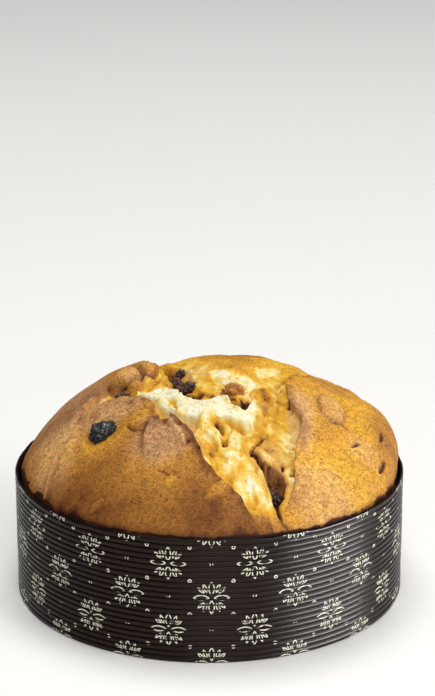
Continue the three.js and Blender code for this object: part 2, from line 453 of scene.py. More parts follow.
# The step where the front flap's tip stands out of the lobe beside it
TIP_STEP: Path = [
    (-22, -46), (-27, -48), (-31, -50.5), (-33.5, -55), (-34, -60), (-33.5, -66), (-35, -74),
]


class Flap(IntEnum):
    """The four crust flaps between the arms of the cross cut, by where they lie."""

    FRONT = 0
    LEFT = 1
    BACK = 2
    RIGHT = 3


FLAP_EDGES = {
    Flap.FRONT: FRONT_FLAP,
    Flap.LEFT: LEFT_FLAP,
    Flap.BACK: BACK_FLAP,
    Flap.RIGHT: RIGHT_FLAP,
}


@dataclass(frozen=True)
class Nearest:
    """The flap that each point is nearest to, or lies on.

    Attributes:
        flap: the flap's number.
        out: the distance out of it, negative on it.
        out_x: the way out of it, along X.
        out_y: the way out of it, along Y.
        back: the distance out of the back flap.
    """

    flap: np.ndarray
    out: np.ndarray
    out_x: np.ndarray
    out_y: np.ndarray
    back: np.ndarray

    @classmethod
    def to(cls, x: np.ndarray, y: np.ndarray) -> Nearest:
        """Find the nearest flap of every point.

        Args:
            x: the points, along X.
            y: the points, along Y.

        Returns:
            Those flaps, and how the points lie to them.
        """
        reaches = [reach_of(edge, x, y, closed=True) for edge in FLAP_EDGES.values()]
        distances = np.array([reach.distance for reach in reaches])
        flap = distances.argmin(0)
        out = np.take_along_axis(distances, flap[None], 0)[0]
        out_x = np.choose(flap, [reach.out_x for reach in reaches])
        out_y = np.choose(flap, [reach.out_y for reach in reaches])
        return cls(flap, out, out_x, out_y, distances[Flap.BACK])

    def choose(self, front: float, left: float, back: float, right: float) -> np.ndarray:
        """Give every point its own flap's value."""
        return np.choose(self.flap, [front, left, back, right])


@dataclass
class LoafForm:
    """The loaf's measurements, and the shape and bake of its top.

    Attributes:
        radius: the loaf's radius at the rim.
        crown: the crown's height above the rim.
        tear_depth: how far the torn crumb lies under the crust.
        lip_lift: how far a flap curls up at its edge.
        overhang: how far a flap's lip leans out over the crumb.
        face_drop: how far the back flap droops towards the tear.
        face_pale: how much less baked the drooping face is.
        crumb_bake: the bake of plain torn crumb; a paler patch is open crumb.
        seat_bake: the bake round a bump that stands on its own level.
        wander: how far edges wander, in broad waves and in fine ones.
        swelling: how uneven the crust is, in broad lumps and in small ones.
        flakes: how uneven the crust is near its torn edges.
        pits: how many steam pits the crust has.
    """

    radius: float
    crown: float = 52.6
    tear_depth: float = 6.0
    lip_lift: float = 2.2
    overhang: float = 1.2
    face_drop: float = 4.6
    face_pale: float = 0.30
    crumb_bake: float = 0.35
    seat_bake: float = 0.66
    wander: tuple[float, float] = (0.8, 0.35)
    swelling: tuple[float, float] = (0.9, 0.3)
    flakes: float = 0.40
    pits: int = 170

    # The order counts, as a later patch lies over an earlier one
    patches = (
        Patch(CRUMB_MOUND, height=6.2, bake=0.05, soft=1.3, lumps=0.5, under=True),
        Patch(CRUMB_STRIP, height=2.4, bake=0.20, soft=1.4, lumps=0.5, under=True),
        Patch(FRONT_CRUMB, height=0.6, bake=0.24, soft=2.4, lumps=1.0, under=True),
        Patch(WHITE_CRUMB, height=-0.8, bake=0.05, soft=1.2, lumps=1.2, streaks=0.30),
        Patch(FAR_WHITE_CRUMB, height=-0.6, bake=0.12, soft=1.4, lumps=0.9, streaks=0.45),
        Patch(GOLDEN_CRUMB, height=0.5, bake=0.43, soft=2.0, lumps=1.4, streaks=0.3),
        Patch(LEFT_STRANDS, height=0.4, bake=0.33, soft=1.0, lumps=1.2, streaks=0.25),
        Patch(BROWN_HOLLOW, height=-0.8, bake=0.47, soft=0.9, lumps=0.6, under=True),
        Patch(MOUND_FOOT, height=-0.4, bake=0.46, soft=0.8, lumps=0.6, under=True, streaks=0.2),
        Patch(BROWN_SHELF, height=1.2, bake=0.52, soft=0.9, lumps=0.4, under=True),
        Patch(TONGUE, height=1.6, bake=0.43, soft=0.8, lumps=0.4),
        # The hole is painted near-black: painted shade down in it
        Patch(HOLE, height=-8.0, bake=1.0, soft=0.6, lumps=1.2),
    )
    # Path, half width, height and bake of each ridge and band of colour; the dark groove among them is
    # painted shade
    ridges = (
        Stroke(((-25.5, 18), (-27, 8), (-30, 0), (-34, -8), (-38, -17)), 2.2, 3.2, 0.30),
        Stroke(((-22.5, 18), (-24, 8), (-26.5, -3), (-31, -12), (-36, -20)), 1.6, 1.8, 0.26),
        Stroke(((-24, 14), (-25.5, 4), (-28.5, -6), (-33, -15)), 0.7, -1.2, 0.62),
        Stroke(((-27.5, 14), (-30, 4), (-33.5, -5), (-37, -13)), 0.6, -0.8, 0.70),
        Stroke(((2, -51.5), (6.5, -50), (11.5, -51), (16, -52), (20, -52)), 1.8, 1.8, 0.50),
        Stroke(
            ((20.8, -20), (24.5, -15.6), (29.3, -13.8), (33.6, -15.6), (35.8, -22), (36.7, -33)),
            1.6, 1.0, 0.62,
        ),
        Stroke(((16, -24.8), (17, -27.1), (18, -29.7), (19.3, -27.3), (20.1, -25)), 1.3, -1.6, 0.95),
        Stroke(((20, 30), (26.8, 31.6), (32.4, 31)), 1.8, 0.0, 0.86),
        Stroke(
            ((-22, -51), (-17, -53.3), (-14, -57.5), (-11, -62), (-8.5, -67), (-6, -73), (-3.5, -78)),
            2.4, 0.0, 0.90,
        ),
        Stroke(((44, -20), (45.5, -31), (49, -37), (51, -44), (49.5, -53), (47.5, -62)), 2.4, 0.8, 0.74),
    )
    # Path, half width, height and bake of each groove, crack and crease, and what lies along them; the
    # darkest bake is painted shade
    grooves = (
        Stroke(((21.3, -64.5), (25, -59.5), (29, -54.5)), 0.8, -1.6, 0.82),
        Stroke(((-24, 37), (-21.5, 28), (-18.5, 20)), 3.6, 0.0, 0.80),
        Stroke(((-19, 22), (-18.5, 12), (-18, 2), (-16, -6), (-12, -12)), 4.2, -2.0, 0.92),
        Stroke(
            ((-16, -4), (-12.8, -9), (-9, -14), (-5, -17.5), (0, -20.4), (5, -21.8), (10, -23), (14, -26)),
            1.7, -1.6, 1.0,
        ),
        Stroke(((10.5, -26), (13.5, -29.5), (16.5, -35)), 1.8, -5.0, 0.86),
        Stroke(
            ((21.3, -62.8), (24.4, -66), (27.6, -68.9), (30.2, -71.4), (32.6, -74), (34.6, -78)),
            1.5, -1.0, 0.92,
        ),
        Stroke(
            ((27, -67.5), (31, -69.3), (34.5, -70.9), (38.2, -74.9), (38.5, -80), (36.8, -85.4)),
            1.8, 0.0, 0.99,
        ),
        Stroke(((33.4, -84), (34.4, -88), (35.2, -90.5), (36.6, -93)), 1.2, -4.0, 0.95, steep=True),
        Stroke(((34, -91.5), (36.5, -93.8), (39.5, -94.7), (43, -95.4), (48, -97)), 0.8, -1.6, 0.85),
        Stroke(((64.8, -29), (68.8, -28.6), (72.7, -31.5)), 0.9, -2.2, 1.0),
        Stroke(((74.2, -43.5), (76, -40.5), (77.7, -37.5), (80, -37)), 0.9, -2.0, 1.0),
        Stroke(((92.2, -17), (91.7, -21), (90.8, -25.5)), 0.9, -1.8, 0.98),
        Stroke(((91.9, -36), (90.5, -41), (88.6, -45.5)), 1.0, -2.0, 1.0),
        Stroke(((64.5, -65.4), (66.5, -65), (68.7, -64.8)), 0.5, -0.8, 0.92),
        Stroke(((-67.5, -21), (-69.4, -26), (-71.3, -32)), 1.2, -3.0, 1.0),
        Stroke(((48, 4), (53, 12), (60, 21)), 1.0, -1.6, 0.88),
        Stroke(((-26, -77), (-22.5, -79.4), (-18.5, -81.2)), 0.5, -0.7, 0.92),
        Stroke(((-41.5, -8), (-40, -2), (-38.5, 4), (-36.5, 9)), 0.7, -1.2, 0.84),
        Stroke(((-43, -46.5), (-40, -50.5), (-36, -52.4), (-31.5, -53.4)), 0.6, -1.2, 0.92),
        Stroke(((-20, -53.6), (-18, -57.6), (-15.8, -62.8), (-12.4, -68)), 1.2, 1.4, 0.56),
        Stroke(((-23.2, -32.2), (-20.5, -36.5), (-17.2, -40.6), (-15.8, -46.2)), 1.0, -1.6, 0.42),
        Stroke(((-48.5, -6), (-46.5, 0), (-45.5, 4)), 0.5, -0.7, 0.78),
        Stroke(((-35.5, -1), (-34, 4), (-31.5, 9)), 0.5, -0.7, 0.78),
        Stroke(((-73, -26), (-78.2, -33.8), (-81, -40.7), (-83.5, -46.7), (-86.5, -54)), 1.5, 1.0, 0.60),
    )
    # Centre, half widths, turn, height, crease, bake and level of each bump
    bumps = (
        Bump(-35.2, 4.6, 6.8, 6.8, 15, 5.2, 2.4, -0.04, 0.8),
        Bump(-44.2, -2.0, 8.4, 7.4, 15, 6.2, 2.6, -0.04, 1.0),
        Bump(-39.4, -11.0, 4.4, 3.6, 10, 2.6, 1.8, 0.04, -0.5),
        Bump(-25.5, 29.0, 16.0, 5.0, 102, -4.2, 0.0, 0.08),
        Bump(-28.0, 51.0, 13.0, 7.0, 95, -3.6, 0.0, 0.04),
        Bump(27, -28, 8.0, 7.0, 0, 3.0),
        Bump(64.5, -17, 12.0, 7.0, 85, 3.0, 1.3),
        Bump(78, -41, 6.5, 5.0, 0, 1.6, 0.3),
        Bump(-36.6, -45.2, 6.4, 5.2, 0, 1.5, 0.9, -0.05),
        Bump(-19, -82.7, 4.6, 2.2, 12, 0.9, 0.2, -0.10),
        Bump(3.5, -88, 6.2, 2.8, 25, 0.6, 0.2, -0.10),
        Bump(-57, -78.6, 4.2, 2.2, 0, 0.8, 0.3, -0.06),
        Bump(5.2, -53.5, 2.2, 3.4, 30, -4.0, 0.0, 0.40),
        Bump(8.2, -61.0, 1.9, 3.6, 25, -4.0, 0.0, 0.48),
        Bump(37.7, -69.3, 1.2, 2.2, 0, -2.4, 0.0, 0.36),
        Bump(43.2, -73.6, 2.2, 1.3, 0, -2.2, 0.0, 0.44),
        Bump(42.2, -28.6, 1.6, 1.3, 0, -2.2, 0.0, 0.50),
        Bump(-54.5, -44.8, 10.2, 9.6, 0, -2.6, -0.5),
        Bump(28, 23, 26, 22, 0, 2.6),
        Bump(87, -2, 16, 34, 0, 3.6),
    )
    # Centre, half sizes and strength of each dusky place, partly the crust's tone and partly painted sheen on
    # upper faces
    dusky_and_sheen = (
        (-22, -60, 20, 16, 1.0), (-52, -33, 22, 10, 0.9), (-74, -8, 24, 40, 0.9), (-84, -40, 12, 16, 0.7),
        (48, -38, 8, 26, 0.8), (-42, -2, 11, 11, 0.6), (64, -18, 10, 14, 0.5), (58, -78, 22, 16, 0.5),
        (80, -40, 10, 10, 0.4), (33, -70, 12, 16, 0.4), (27, -24, 9, 6, 0.6), (-12, 16, 16, 14, 0.4),
        (-78, -44, 10, 18, 0.5),
    )
    # Centre, half sizes and change of bake of each browner or paler place: partly the crust's own tone,
    # partly painted light and shade, darker at the far right and front left, paler at the left
    tone_and_shade_shifts = (
        (-78, -36, 13, 16, -0.15), (-92, -30, 9, 26, -0.06), (-60, -72, 22, 18, 0.10),
        (-14, -92, 40, 16, 0.06), (98, -8, 14, 40, 0.18), (18, -58, 13, 12, 0.12), (74, -42, 10, 7, -0.08),
        (60, -60, 14, 10, -0.04), (60, 12, 14, 12, 0.06), (8, 26, 30, 12, 0.05), (-88, 2, 14, 16, 0.04),
    )

    def crown_height(self, x: np.ndarray, y: np.ndarray) -> np.ndarray:
        """Work out the plain crown, with a full shoulder at the right and back.

        Args:
            x: the disc's points, along X.
            y: the disc's points, along Y.

        Returns:
            The crown's height above the rim.
        """
        reach = np.clip(np.hypot(x, y) / self.radius, 0.0, 1.0)
        turn = np.arctan2(y, x)
        shoulder = 7.75 + 10.0 * np.cos(turn) + 3.0 * np.sin(turn) + 2.25 * np.cos(2.0 * turn)
        shoulder = np.maximum(shoulder, 0.0)
        dome = (self.crown - shoulder) * (1.0 - reach**3) ** (1.0 + 0.035 * shoulder)
        return dome + shoulder * np.sqrt(1.0 - reach**24)

    def skin(self, x: np.ndarray, y: np.ndarray) -> Skin:
        """Work out the top's shape and bake.

        Args:
            x: the disc's points, along X.
            y: the disc's points, along Y.

        Returns:
            The skin over those points.
        """
        coarse, fine = Grain(3), Grain(8)
        inner = 1.0 - smoothstep(0.88, 0.99, np.hypot(x, y) / self.radius)
        broad, small = self.wander
        wx = x + (broad * coarse.layered(x, y, 10.0) + small * fine.layered(x, y, 3.0)) * inner
        wy = y + (broad * coarse.layered(x + 90, y + 40, 10.0) + small * fine.layered(x + 60, y, 3.0)) * inner
        near = Nearest.to(wx, wy)
        gap = smoothstep(-0.7, 1.5, near.out) * inner
        within = np.minimum(near.out, 0.0)
        lift = near.choose(front=1.0, left=0.8, back=0.0, right=1.0)

        z = self.crown_height(x, y)
        broad, small = self.swelling
        z += (broad * coarse.layered(x, y, 38.0) + small * fine.layered(x, y, 14.0)) * inner
        z += (1.0 - gap) * self.lip_lift * lift * np.exp(within / 8.0) * inner
        # The back flap's face, which droops towards the tear
        face = smoothstep(-34.0, 0.0, near.back) * smoothstep(-30, -18, x) * (1.0 - smoothstep(34, 50, x))
        face = face * (near.flap == Flap.BACK)
        z -= self.face_drop * face**1.6
        z -= gap * self.tear_depth * (0.5 + 0.5 * smoothstep(0.0, 8.0, near.out))

        # Crust near a torn edge is flaky
        flaky = (1.0 - gap) * np.exp(within / 7.0) * inner
        flakes = flaky * (1.0 - 2.2 * np.abs(coarse.layered(wx + 30, wy, 6.5, 3)))
        z += self.flakes * flakes

        bake, dusk, torn = self.crust_bake(x, y, near), np.zeros(x.shape), np.maximum(gap, 0.85 * face)
        skin = Skin(x.copy(), y.copy(), wx, wy, inner, gap, z, bake, dusk, torn)
        skin.bake -= 0.09 * flakes
        skin.bake -= self.face_pale * face * (1.0 - gap)
        skin.tint(gap, self.crumb_bake)
        skin.bake += gap * 0.05 * fine.layered(x, y, 9.0)

        self.shade_zones(skin)
        self.front_scarp(skin)
        self.lay_patches(skin, fine)
        self.lay_strokes(skin)
        self.lay_bumps(skin)
        self.crumb(skin, fine)
        self.crust_pores(skin)
        self.rim_edge_and_shade(skin)

        # The lips lean out over the crumb, and the crumb beside them is drawn in under them
        shift = self.overhang * bell(np.minimum(near.out + 0.3, 0.0), 2.4)
        shift = shift * bell(np.maximum(near.out, 0.0), 0.8)
        shift = (shift - 0.5 * bell(near.out - 1.5, 0.8)) * inner * lift
        skin.x += shift * near.out_x
        skin.y += shift * near.out_y
        skin.bake = np.clip(skin.bake, 0.0, 1.0)
        return skin

    def crust_bake(self, x: np.ndarray, y: np.ndarray, near: Nearest) -> np.ndarray:
        """Work out how brown the crust is.

        Args:
            x: the disc's points, along X.
            y: the disc's points, along Y.
            near: the flap each point is nearest to.

        Returns:
            The bake, from 0 for pale crumb to 1 for dark crust.
        """
        tones = Grain(14)
        level = near.choose(front=0.76, left=0.72, back=0.66, right=0.60)
        edge = near.choose(front=0.04, left=0.06, back=-0.10, right=0.06)
        bake = level + edge * np.exp(np.minimum(near.out, 0.0) / 4.0)
        bake += 0.05 * tones.layered(x, y, 30.0) + 0.03 * tones.layered(x + 50, y, 9.0)
        return bake

    def shade_zones(self, skin: Skin) -> None:
        """Make some places of the crust dusky, and some browner or paler, partly as painted sheen, light and
        shade.

        Args:
            skin: the skin so far.
        """
        for cx, cy, rx, ry, much in self.dusky_and_sheen:
            weight = 1.0 - smoothstep(0.5, 1.2, np.hypot((skin.wx - cx) / rx, (skin.wy - cy) / ry))
            skin.dusk = np.maximum(skin.dusk, weight * much)
        # Browner and paler places, partly painted light and shade
        for cx, cy, rx, ry, shift in self.tone_and_shade_shifts:
            weight = 1.0 - smoothstep(0.4, 1.3, np.hypot((skin.wx - cx) / rx, (skin.wy - cy) / ry))
            skin.bake += shift * weight * (1.0 - skin.gap)

    def front_scarp(self, skin: Skin) -> None:
        """Lift the front flap's tip out of the lobe beside it, with painted shade along the step.

        Args:
            skin: the skin so far.
        """
        x, y = skin.wx, skin.wy
        line = reach_of(TIP_STEP, x, y)
        fade = 1.0 - smoothstep(0.40, 1.0, line.along)
        in_lobe = (x < -33.5) | (y > -50.5 - 0.6 * (x + 31.0)) & (x < -20) | (x < -31.5) & (y > -53)
        side = np.where(in_lobe, -1.0, 1.0) * line.distance
        step = smoothstep(-1.1, 1.1, side)
        rise = step * 2.0 * np.exp(-np.maximum(side, 0.0) / 9.0)
        fall = (1.0 - step) * 2.2 * np.exp(np.minimum(side, 0.0) / 7.0)
        skin.z += fade * (rise - fall)
        # Painted shade along the foot of the step
        skin.bake += 0.16 * fade * bell(side + 0.6, 1.5)
        skin.bake -= 0.12 * bell(np.hypot((x + 52.0) / 20.0, (y + 42.0) / 17.0), 1.0)

    def lay_patches(self, skin: Skin, fine: Grain) -> None:
        """Raise or sink each patch and give it its bake.

        Args:
            skin: the skin so far.
            fine: the noise for lumps.
        """
        lumps = fine.layered(skin.x, skin.y, 6.0)
        streaks = 0.5 + 0.5 * fine.layered(0.5 * skin.x + skin.y, skin.x - 0.5 * skin.y, 2.4)
        for patch in self.patches:
            weight = patch.weight(skin.wx, skin.wy) * (skin.gap if patch.under else skin.inner)
            weight *= 1.0 - patch.streaks * streaks
            skin.z += weight * (patch.height + patch.lumps * 0.5 * lumps)
            skin.tint(weight, patch.bake)
            if patch.bake < self.crumb_bake:
                skin.torn = np.maximum(skin.torn, weight)
                skin.dusk *= 1.0 - weight

    def lay_strokes(self, skin: Skin) -> None:
        """Raise or sink each ridge and groove and give it its bake, painted shade in the dark ones.

        Args:
            skin: the skin so far.
        """
        for stroke in self.ridges + self.grooves:
            weight = stroke.weight(skin.wx, skin.wy)
            skin.z += stroke.height * weight
            skin.tint(weight, stroke.bake)

    def lay_bumps(self, skin: Skin) -> None:
        """Raise or sink each bump, with the crease round it and painted shade in that crease.

        Args:
            skin: the skin so far.
        """
        for bump in self.bumps:
            r = bump.reach(skin.wx, skin.wy)
            if bump.level is not None:
                seat = 1.0 - smoothstep(0.85, 1.25, r)
                skin.z += seat * (self.crown_height(skin.x, skin.y) + bump.level - skin.z)
                skin.tint(seat, self.seat_bake)
                skin.torn = skin.torn * (1.0 - seat)
            # A deep hollow has steep sides
            if bump.height < -3.0:
                shape = 1.0 - smoothstep(0.7, 1.15, r)
            else:
                shape = np.clip(1.0 - r**2, 0.0, 1.0) ** 0.7
            skin.z += bump.height * shape
            skin.z -= bump.creased * bell(r - 1.06, 0.13)
            browner = (1.0 - smoothstep(0.7, 1.1, r)) * bump.bake
            # The crease is darkened with its depth: painted shade
            skin.bake += browner + 0.10 * bump.creased * bell(r - 1.06, 0.12)

    def crumb(self, skin: Skin, fine: Grain) -> None:
        """Roughen the torn crumb with strands and open pores, with painted shade in the pores.

        Args:
            skin: the skin so far.
            fine: the noise for lumps.
        """
        pores = Grain(21)
        # The strands run to the front right
        lean = math.radians(-62.0)
        along = skin.x * math.cos(lean) + skin.y * math.sin(lean)
        across = -skin.x * math.sin(lean) + skin.y * math.cos(lean)
        strands = pores.layered(along * 0.4, across, 2.2, 2)
        skin.z += skin.torn * (0.30 * strands + 0.40 * fine.layered(skin.x, skin.y, 4.5))
        # Open pores sink in and are darkened as painted shade
        hole = smoothstep(0.45, 0.80, pores.layered(skin.x, skin.y, 2.6, 2)) * skin.torn
        skin.z -= hole * 1.0
        patchy = pores.layered(skin.x + 200, skin.y, 6.5, 3) * skin.torn * smoothstep(0.03, 0.22, skin.bake)
        skin.z += 0.55 * patchy
        skin.bake += hole * 0.12 + skin.torn * 0.07 * strands - 0.20 * patchy

    def crust_pores(self, skin: Skin) -> None:
        """Prick the crust with the small pits that steam leaves.

        Args:
            skin: the skin so far.
        """
        draw = np.random.default_rng(5)
        for _ in range(self.pits):
            turn, reach = draw.uniform(0, 2 * math.pi), self.radius * math.sqrt(draw.uniform(0.02, 0.93))
            size, deep, flat = draw.uniform(0.4, 1.1), draw.uniform(0.2, 0.8), draw.uniform(0.7, 1.3)
            cx, cy = reach * math.cos(turn), reach * math.sin(turn)
            close = (np.abs(skin.x - cx) < 4) & (np.abs(skin.y - cy) < 4)
            pit = bell(np.hypot(skin.x[close] - cx, (skin.y[close] - cy) * flat), size)
            pit *= 1 - skin.torn[close]
            skin.z[close] -= deep * pit * skin.inner[close]
            skin.bake[close] += 0.20 * deep * pit

    def rim_edge_and_shade(self, skin: Skin) -> None:
        """Darken the crust where it meets the case, partly its own darker edge and partly painted shade,
        paint shade on its front left, and swell it a little over the paper.

        Args:
            skin: the skin so far.
        """
        grain = Grain(33)
        low = skin.z + 1.6 * grain.layered(skin.x, skin.y, 7.0)
        # Darker towards the case: partly the crust's own edge and partly painted shade
        skin.bake += 0.07 * (1.0 - smoothstep(1.0, 5.0, low))
        skin.tint(1.0 - smoothstep(0.5, 1.5, low), 0.97)
        # Painted shade on the front left, the side turned from the lamps
        front_left_shade = smoothstep(0.2, 1.0, (-0.75 * skin.x - 0.66 * skin.y) / self.radius)
        skin.bake += 0.05 * front_left_shade * (1.0 - smoothstep(2.0, 22.0, low))
        turn = np.arctan2(skin.y, skin.x)
        uneven = 1.2 + 0.5 * grain.layered(turn * 100, turn, 8.0)
        swell = bell(skin.z - 2.5, 2.2) * smoothstep(0.2, 1.4, skin.z) * uneven
        aside = smoothstep(0.45, 0.95, np.abs(np.cos(turn)))
        swell = swell * (1.0 - aside) - 1.3 * aside * (1.0 - smoothstep(1.0, 12.0, skin.z))
        skin.x += swell * np.cos(turn)
        skin.y += swell * np.sin(turn)


def disc_grid(cells: int, lean: complex) -> tuple[np.ndarray, np.ndarray]:
    """Spread a square grid over the unit disc, closer together at the rim and where it leans to.

    Args:
        cells: how many cells the square has on a side.
        lean: the point of the disc that the square's middle moves to.

    Returns:
        The points, along X and along Y.
    """
    side = np.linspace(-1.0, 1.0, cells + 1)
    a, b = np.meshgrid(side, side)
    wide = np.abs(a) > np.abs(b)
    radius = np.where(wide, a, b)
    other = np.where(wide, b, a)
    slant = (math.pi / 4) * other / np.where(radius == 0, 1.0, radius)
    turn = np.where(wide, slant, math.pi / 2 - slant)
    crowding = 0.163
    packed = radius + crowding * radius * (1.0 - np.abs(radius) ** 6)
    point = packed * np.exp(1j * turn)
    point = (point + lean) / (1.0 + np.conj(lean) * point)
    return point.real, point.imag


def mesh_object(name: str, points: np.ndarray, faces: list[tuple[int, ...]]) -> bpy.types.Object:
    """Make an object whose place is in its mesh.

    Args:
        name: the piece's name.
        points: its points, in metres.
        faces: its faces, as point numbers.

    Returns:
        The new object.
    """
    mesh = bpy.data.meshes.new(name)
    mesh.from_pydata(points.tolist(), [], faces)
    mesh.validate()
    mesh.shade_smooth()
    piece = bpy.data.objects.new(name, mesh)
    bpy.context.scene.collection.objects.link(piece)
    return piece


class Shade:
    """A shader value that adds Math nodes when Python's operators are used on it."""

    def __init__(self, paint: Paint, socket: bpy.types.NodeSocket) -> None:
        """Wrap a socket.

        Args:
            paint: the material that is being made.
            socket: the socket that gives the value.
        """
        self.paint = paint
        self.socket = socket

    def math(self, operation: str, *values: Shade | float, clamp: bool = False) -> Shade:
        """Add one Math node.

        Args:
            operation: the node's operation.
            *values: its inputs, in order.
            clamp: whether the result is kept between 0 and 1.

        Returns:
            The node's result.
        """
        inputs = dict(enumerate(values))
        return self.paint.node("ShaderNodeMath", {"operation": operation, "use_clamp": clamp}, inputs)

    def __add__(self, other: Shade | float) -> Shade:
        """Add."""
        return self.math("ADD", self, other)

    def __radd__(self, other: float) -> Shade:
        """Add to a number."""
        return self.math("ADD", other, self)

    def __sub__(self, other: Shade | float) -> Shade:
        """Subtract."""
        return self.math("SUBTRACT", self, other)

    def __rsub__(self, other: float) -> Shade:
        """Subtract from a number."""
        return self.math("SUBTRACT", other, self)

    def __mul__(self, other: Shade | float) -> Shade:
        """Multiply."""
        return self.math("MULTIPLY", self, other)

    def __truediv__(self, other: Shade | float) -> Shade:
        """Divide."""
        return self.math("DIVIDE", self, other)

    def __abs__(self) -> Shade:
        """Drop the sign."""
        return self.math("ABSOLUTE", self)

    def __pow__(self, power: float) -> Shade:
        """Raise to a power."""
        return self.math("POWER", self, power)

    def rise(self, low: float, high: float) -> Shade:
        """Rise smoothly from 0 at low to 1 at high.

        Args:
            low: where the rise starts.
            high: where it ends.

        Returns:
            The graded value.
        """
        settings = {"interpolation_type": "SMOOTHSTEP"}
        inputs = {"Value": self, "From Min": low, "From Max": high}
        return self.paint.node("ShaderNodeMapRange", settings, inputs)

    def larger(self, other: Shade | float) -> Shade:
        """Return the larger of two values."""
        return self.math("MAXIMUM", self, other)

    def smaller(self, other: Shade | float) -> Shade:
        """Return the smaller of two values."""
        return self.math("MINIMUM", self, other)


class Paint:
    """A material that is being made, node by node."""

    def __init__(self, name: str) -> None:
        """Start a material with only a Principled shader and its output.

        Args:
            name: the finish's name.
        """
        self.material = bpy.data.materials.new(name)
        self.material.use_nodes = True
        self.tree = self.material.node_tree
        self.tree.nodes.clear()
        self.shader = self.tree.nodes.new("ShaderNodeBsdfPrincipled")
        output = self.tree.nodes.new("ShaderNodeOutputMaterial")
        self.tree.links.new(self.shader.outputs["BSDF"], output.inputs["Surface"])

    def node(
        self, kind: str, settings: dict[str, object], inputs: dict[int | str, object], output: int | str = 0
    ) -> Shade:
        """Add any node.

        Args:
            kind: the node's type.
            settings: its own settings, set first; "stops" fills a colour ramp.
            inputs: the values or links of its sockets, by name or number.
            output: which of its results to return.

        Returns:
            The result asked for.
        """
        made = self.tree.nodes.new(kind)
        for name, value in settings.items():
            if name == "stops":
                self.fill_ramp(made.color_ramp, value)
            else:
                setattr(made, name, value)
        for name, value in inputs.items():
            self.feed(made.inputs[name], value)
        return Shade(self, made.outputs[output])

    def fill_ramp(self, ramp: bpy.types.ColorRamp, stops: list[tuple[float, Colour]]) -> None:
        """Give a colour ramp its stops.

        Args:
            ramp: the ramp, with two stops of its own.
            stops: each stop's place and linear colour.
        """
        while len(ramp.elements) < len(stops):
            ramp.elements.new(0.5)
        for element, (place, colour) in zip(ramp.elements, stops):
            element.position = place
            element.color = (*colour, 1.0)

    def feed(self, socket: bpy.types.NodeSocket, value: object) -> None:
        """Link a socket to a shade, or set its value.

        Args:
            socket: the socket to feed.
            value: a shade, a colour or the socket's own kind of value.
        """
        if isinstance(value, Shade):
            self.tree.links.new(value.socket, socket)
        elif isinstance(value, tuple) and len(value) == 3 and socket.type == "RGBA":
            socket.default_value = (*value, 1.0)
        else:
            socket.default_value = value

    def set(self, **inputs: object) -> None:
        """Feed the Principled shader, with underscores for the spaces in its sockets' names."""
        for name, value in inputs.items():
            self.feed(self.shader.inputs[name.replace("_", " ")], value)

    def place(self) -> Shade:
        """Return the point on the piece, in metres."""
        return self.node("ShaderNodeTexCoord", {}, {}, "Object")

    def attribute(self, name: str) -> Shade:
        """Return a number kept on the mesh."""
        return self.node("ShaderNodeAttribute", {"attribute_name": name}, {}, "Fac")

    def noise(self, place: Shade, per_metre: float, detail: float = 3.0, rough: float = 0.55) -> Shade:
        """Return noise from 0 to 1, with so many lumps to the metre."""
        values = {"Vector": place, "Scale": per_metre, "Detail": detail, "Roughness": rough}
        return self.node("ShaderNodeTexNoise", {}, values, "Fac")

    def mix(self, share: Shade | float, a: object, b: object) -> Shade:
        """Mix two colours."""
        return self.node("ShaderNodeMix", {"data_type": "RGBA"}, {0: share, 6: a, 7: b}, 2)

    def cells(self, place: Shade, scale: float) -> Shade:
        """Make a value that changes at random from one small cell to the next.

        Args:
            place: where on the piece.
            scale: cells to a metre.

        Returns:
            The value, from 0 to 1.
        """
        settings = {"voronoi_dimensions": "3D", "feature": "F1"}
        colour = self.node("ShaderNodeTexVoronoi", settings, {"Vector": place, "Scale": scale}, "Color")
        return self.node("ShaderNodeSeparateXYZ", {}, {0: colour}, "X")

    def scaled(self, colour: Shade, factor: Shade) -> Shade:
        """Make a colour lighter or darker by a factor."""
        return self.node("ShaderNodeVectorMath", {"operation": "SCALE"}, {"Vector": colour, "Scale": factor})

    def bump(self, height: Shade, strength: float, distance: float) -> Shade:
        """Turn a height into a bumped normal."""
        values = {"Height": height, "Strength": strength, "Distance": distance}
        return self.node("ShaderNodeBump", {}, values, "Normal")


def linear(red: int, green: int, blue: int) -> Colour:
    """Turn a screen colour, 0 to 255, into a linear one."""
    scaled = [c / 255.0 for c in (red, green, blue)]
    return tuple(c / 12.92 if c <= 0.04045 else ((c + 0.055) / 1.055) ** 2.4 for c in scaled)


